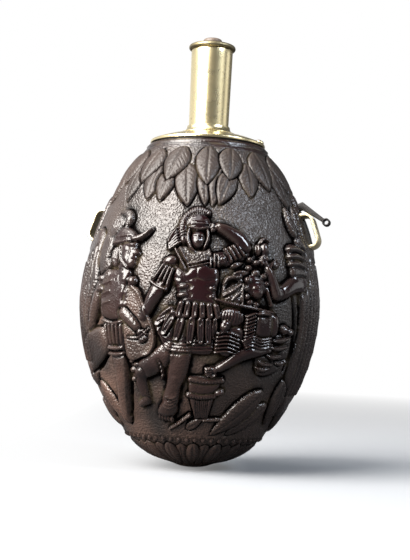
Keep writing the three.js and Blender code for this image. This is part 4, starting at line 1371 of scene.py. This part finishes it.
def turn_profile(name, outline, ease=0.0):
    """Spins a closed or pole-to-pole outline of radius and height, in metres, about Z."""
    piece = draw_line(name, [(r, 0, z) for r, z in outline])
    bpy.ops.mesh.spin(steps=LATHE_STEPS, angle=2 * pi, center=(0, 0, 0), axis=(0, 0, 1))
    bpy.ops.mesh.select_all(action="SELECT")
    bpy.ops.mesh.remove_doubles(threshold=LATHE_GAP)
    face_out()
    if ease:
        ease_edges(piece, ease, TURNED_EDGE)
    bpy.ops.object.shade_smooth_by_angle(angle=SMOOTH_ANGLE)
    return piece


def node_size(name):
    """Outer radius, lowest and highest point of a round CAD node."""
    low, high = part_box(name)
    return high.x, low.z, high.z


print("lathe ready")

# %% [markdown]
# The cap is a shallow dome of sheet brass, spun over a wooden form. The spout is a rolled and
# soldered tube, a little wider at its mouth, where a wire ring stiffens the edge. A hollow fillet
# of solder closes its foot. All four are turned here from the sizes of their CAD nodes.

# %% Cap, spout and rings
CAP_SHEET = 0.9 * MM
DOME_RADIUS = 50 * MM
SPOUT_WALL = 0.8 * MM
SPOUT_BASE_RADIUS = 6.6 * MM
SPOUT_GAP = 0.3 * MM
DOME_STEPS = 16
TUBE_STEPS = 14
WIRE_STEPS = 20
FOOT_STEPS = 12
FOOT_LIP = 0.3 * MM
FOOT_GAP = 0.1 * MM
cap_radius, cap_low, _ = node_size("neck_cap")
dome_centre = cap_low - sqrt((DOME_RADIUS - CAP_SHEET) ** 2 - cap_radius ** 2)
cap_hole = SPOUT_BASE_RADIUS + SPOUT_GAP


def dome(radius, sheet=0.0):
    return dome_centre + sqrt((DOME_RADIUS - sheet) ** 2 - radius ** 2)


dome_radii = [cap_hole + (cap_radius - cap_hole) * i / DOME_STEPS for i in range(DOME_STEPS + 1)]
cap_outline = [(r, dome(r, CAP_SHEET)) for r in dome_radii]
cap_outline += [(r, dome(r)) for r in reversed(dome_radii)]
cap = turn_profile("neck_cap_brass", cap_outline + cap_outline[:1], ease=0.25 * MM)
dress(cap, "flask", "brass", brass, "neck_cap")

mouth_radius, tube_low, tube_high = node_size("spout_tube")
tube_heights = [tube_low + (tube_high - tube_low) * i / TUBE_STEPS for i in range(TUBE_STEPS + 1)]


def tube_radius(height):
    share = (height - tube_low) / (tube_high - tube_low)
    return SPOUT_BASE_RADIUS + (mouth_radius - SPOUT_BASE_RADIUS) * share


tube_outline = [(tube_radius(z), z) for z in tube_heights]
tube_outline += [(tube_radius(z) - SPOUT_WALL, z) for z in reversed(tube_heights)]
tube = turn_profile("spout_tube_brass", tube_outline + tube_outline[:1], ease=0.15 * MM)
dress(tube, "flask", "brass", brass, "spout_tube")

ring_outer, ring_low, ring_high = node_size("mouth_ring")
wire = (ring_high - ring_low) / 2
wire_angles = [2 * pi * i / WIRE_STEPS for i in range(WIRE_STEPS)]
ring_outline = [(ring_outer - wire + wire * cos(a), ring_low + wire + wire * sin(a)) for a in wire_angles]
mouth_ring = turn_profile("mouth_ring_brass", ring_outline + ring_outline[:1])
# The mouth wire takes the darker, shade-painted brass.
dress(mouth_ring, "flask", "brass", shade_painted_brass, "mouth_ring")

foot_outer, foot_low, foot_high = node_size("foot_ring")
foot_inner = SPOUT_BASE_RADIUS + SPOUT_GAP
foot_outline = [(foot_inner, dome(foot_inner) + FOOT_GAP), (foot_outer, foot_low)]
for i in range(FOOT_STEPS + 1):
    angle = pi / 2 * (1 - i / FOOT_STEPS)
    foot_outline.append((foot_outer - (foot_outer - foot_inner - FOOT_LIP) * cos(angle),
                         foot_high - (foot_high - foot_low - FOOT_LIP) * sin(angle)))
foot_outline.append((foot_inner, foot_high))
foot_ring = turn_profile("foot_ring_brass", foot_outline + foot_outline[:1], ease=0.1 * MM)
dress(foot_ring, "flask", "brass", brass, "foot_ring")
print("cap", round(cap_radius / MM, 1), "spout", round(tube_high / MM, 1))

# %% [markdown]
# The stopper is turned from boxwood: a plug with a slight taper, chamfered to find the bore, and a flat
# round knob that shows above the mouth. It is a body of its own, because it can be pulled out.

# %% Stopper
stopper_radius, stopper_low, stopper_high = node_size("stopper")
KNOB_RADIUS = 3.2 * MM
KNOB_NECK = 2.6 * MM
KNOB_RISE = 2.95 * MM
KNOB_ROUNDING = 0.55
PLUG_TAPER = 0.25 * MM
PLUG_CHAMFER = 0.9 * MM
NECK_RISE = 0.05 * MM
KNOB_STEPS = 15
plug_top = stopper_high - KNOB_RISE
knob_middle = (plug_top + stopper_high) / 2
stopper_outline = [(0, stopper_low), (stopper_radius - PLUG_TAPER - PLUG_CHAMFER, stopper_low),
                   (stopper_radius - PLUG_TAPER, stopper_low + PLUG_CHAMFER),
                   (stopper_radius, plug_top - PLUG_CHAMFER / 2),
                   (stopper_radius - PLUG_CHAMFER / 2, plug_top), (KNOB_NECK, plug_top + NECK_RISE)]
for i in range(KNOB_STEPS + 1):
    angle = pi / 2 * i / KNOB_STEPS
    radius = KNOB_RADIUS * max(cos(angle), 0) ** KNOB_ROUNDING
    rise = (stopper_high - knob_middle) * sin(angle) ** KNOB_ROUNDING
    stopper_outline.append((radius, knob_middle + rise))
stopper_outline[-1] = (0, stopper_high)
stopper = turn_profile("boxwood_stopper", stopper_outline, ease=0.12 * MM)
dress(stopper, "stopper", "stopper_wood", boxwood, "stopper")
print("stopper", round(stopper_high / MM, 1))

# %% [markdown]
# The two tacks that hold the cap have hammered round heads and pointed shanks. Each is turned like
# the other round pieces and then laid on the slope of the cap, square to it.

# %% Tacks
TACK_HEAD = 1.4 * MM
TACK_RISE = 0.8 * MM
TACK_SHANK = 0.45 * MM
TACK_LENGTH = 4 * MM
TACK_INSET = 1.5 * MM
TACK_POINT = 0.75
HEAD_GAP = 0.1 * MM
HEAD_STEPS = 8
tack_radius = cap_radius - TACK_INSET
for side_name, turn in (("left", pi), ("right", 0)):
    outline = [(0, -TACK_LENGTH), (TACK_SHANK, -TACK_LENGTH * TACK_POINT), (TACK_SHANK, HEAD_GAP)]
    for i in range(HEAD_STEPS + 1):
        angle = pi / 2 * i / HEAD_STEPS
        outline.append((max(TACK_HEAD * cos(angle), 0), HEAD_GAP + TACK_RISE * sin(angle)))
    tack = turn_profile(f"cap_tack_{side_name}_brass", outline, ease=0.06 * MM)
    lean = Matrix.Rotation(np.arcsin(tack_radius / DOME_RADIUS), 4, "Y")
    seat = Matrix.Translation((tack_radius, 0, dome(tack_radius)))
    tack.data.transform(Matrix.Rotation(turn, 4, "Z") @ seat @ lean)
    dress(tack, "flask", "brass", brass, f"cap_tack_{side_name}")
print("tacks set")

# %% [markdown]
# A strap loop is a strip of brass bent like a staple, with both ends clenched inside the nut over
# small washers, the roves. The strip's middle line is drawn out point by point, pulled sideways to
# its width, thickened and eased. How deep the ends lie follows from the CAD's roves.

# %% Strap loops
LOOP_HEIGHT = 79.2 * MM
LOOP_SPAN = 11.8 * MM
LOOP_REACH = 3.4 * MM
LOOP_SHEET = 1.0 * MM
LOOP_WIDTH = 8.6 * MM
LOOP_BEND = 3.0 * MM
LOOP_EASE = 0.25 * MM
SLOPE_STEP = 0.01
BEND_STEPS = 10
CLENCH = 2.2 * MM
SEAT_GAP = 0.1 * MM
ROVE_SHEET = 0.8 * MM


def seat_on_nut(height, turn):
    """A place on the nut's skin: local X points out of it and local Z up along it."""
    z = height / MM
    fall = float(egg_radius(z + SLOPE_STEP) - egg_radius(z - SLOPE_STEP)) / (2 * SLOPE_STEP)
    skin = Matrix.Translation((float(egg_radius(z)) * MM, 0, height))
    return Matrix.Rotation(turn, 4, "Z") @ (skin @ Matrix.Rotation(atan(fall), 4, "Y"))


def bend_strip(name, line, width, sheet, ease):
    """Bends a strip along a line of local X and Z, and gives it its width and sheet."""
    piece = draw_line(name, [(x, -width / 2, z) for x, z in line])
    bpy.ops.mesh.extrude_edges_move(TRANSFORM_OT_translate={"value": (0, width, 0)})
    bpy.ops.object.mode_set(mode="OBJECT")
    thick = piece.modifiers.new("sheet", "SOLIDIFY")
    thick.thickness = sheet
    thick.offset = 0
    thick.use_even_offset = True
    ease_edges(piece, ease, STRIP_EDGE)
    bpy.ops.object.mode_set(mode="EDIT")
    face_out()
    bpy.ops.object.shade_smooth_by_angle(angle=SMOOTH_ANGLE)
    return piece


def arc(centre_x, centre_z, radius, start, end, steps):
    """Points on a round bend, angles in degrees."""
    angles = [radians(start + (end - start) * i / steps) for i in range(steps + 1)]
    return [(centre_x + radius * cos(a), centre_z + radius * sin(a)) for a in angles]


middle_bend = LOOP_BEND - LOOP_SHEET / 2
bend_x = LOOP_REACH - LOOP_BEND
bend_z = LOOP_SPAN / 2 - LOOP_BEND
leg_z = LOOP_SPAN / 2 - LOOP_SHEET / 2
clench_z = LOOP_SPAN / 2 + CLENCH


def clench_depth(seat, rove):
    """How deep a leg's clenched end lies: just behind its rove."""
    low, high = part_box(rove)
    middle = seat.inverted() @ ((low + high) / 2)
    return middle.x - ROVE_SHEET / 2 - SEAT_GAP - LOOP_SHEET / 2


for side_name, turn in (("left", pi), ("right", 0)):
    seat = seat_on_nut(LOOP_HEIGHT, turn)
    upper = clench_depth(seat, f"rove_{side_name}_upper")
    lower = clench_depth(seat, f"rove_{side_name}_lower")
    loop_line = [(upper, clench_z), (upper, leg_z)]
    loop_line += arc(bend_x, bend_z, middle_bend, 90, 0, BEND_STEPS)
    loop_line += arc(bend_x, -bend_z, middle_bend, 0, -90, BEND_STEPS)
    loop_line += [(lower, -leg_z), (lower, -clench_z)]
    loop = bend_strip(f"strap_loop_{side_name}_brass", loop_line, LOOP_WIDTH, LOOP_SHEET, LOOP_EASE)
    loop.data.transform(seat)
    dress(loop, "flask", "brass", strip_brass, f"strap_loop_{side_name}")
print("loops bent", round(upper / MM, 1), round(lower / MM, 1))

# %% [markdown]
# The iron hook is a forged strip with a pointed tang in the nut. Outside it bends down and tapers, and
# its end is rolled into an eye for a cord. It is drawn as a side view with a hole, and pulled
# sideways to its width, because its thickness changes along its length.

# %% Iron hook
HOOK_HEIGHT = 87.2 * MM
HOOK_ROOT_SHEET = 2.2 * MM
HOOK_SHEET = 1.2 * MM
HOOK_WIDTH = 3.5 * MM
HOOK_STAND_OFF = 1.3 * MM
HOOK_ARM = 9.6 * MM
HOOK_DROP = 33
HOOK_EYE = 1.3 * MM
HOOK_EYE_HOLE = 0.75 * MM
HOOK_TANG = 3.8 * MM
HOOK_TANG_TIP = 0.5 * MM
HOOK_EASE = 0.22 * MM
ROLL_STEPS = 24
HOLE_STEPS = 20
hook_seat = seat_on_nut(HOOK_HEIGHT, 0)
hook_out = hook_seat.to_3x3() @ Vector((1, 0, 0))
arm_angle = radians(HOOK_DROP) + atan(hook_out.z / hook_out.x)
ahead = Vector((cos(arm_angle), -sin(arm_angle)))
root_half = HOOK_ROOT_SHEET / 2
bend_shift = root_half * tan(arm_angle / 2)
eye_middle = Vector((HOOK_STAND_OFF, 0)) + ahead * HOOK_ARM
neck = np.degrees(np.arcsin(HOOK_SHEET / 2 / HOOK_EYE))
roll_start = 180 - np.degrees(arm_angle) + neck
roll_end = 540 - np.degrees(arm_angle) - neck
hook_outline = [(-HOOK_TANG, -HOOK_TANG_TIP / 2), (0, -root_half),
                (HOOK_STAND_OFF - bend_shift, -root_half)]
hook_outline += arc(eye_middle.x, eye_middle.y, HOOK_EYE, roll_start, roll_end, ROLL_STEPS)
hook_outline += [(HOOK_STAND_OFF + bend_shift, root_half), (0, root_half), (-HOOK_TANG, HOOK_TANG_TIP / 2)]

hook_points = [(x, -HOOK_WIDTH / 2, z) for x, z in hook_outline]
hook = draw_line("cord_hook_iron", hook_points + hook_points[:1])
bpy.ops.mesh.remove_doubles(threshold=MERGE_GAP)
hole_place = (eye_middle.x, -HOOK_WIDTH / 2, eye_middle.y)
bpy.ops.mesh.primitive_circle_add(
    vertices=HOLE_STEPS, radius=HOOK_EYE_HOLE, location=hole_place, rotation=(pi / 2, 0, 0)
)
bpy.ops.mesh.select_all(action="SELECT")
bpy.ops.mesh.fill(use_beauty=True)
bpy.ops.mesh.extrude_region_move(TRANSFORM_OT_translate={"value": (0, HOOK_WIDTH, 0)})
face_out()
ease_edges(hook, HOOK_EASE, STRIP_EDGE)
bpy.ops.object.shade_smooth_by_angle(angle=SMOOTH_ANGLE)
hook.data.transform(hook_seat)
dress(hook, "flask", "iron", iron, "cord_hook")
print("hook forged, faces", len(hook.data.polygons))
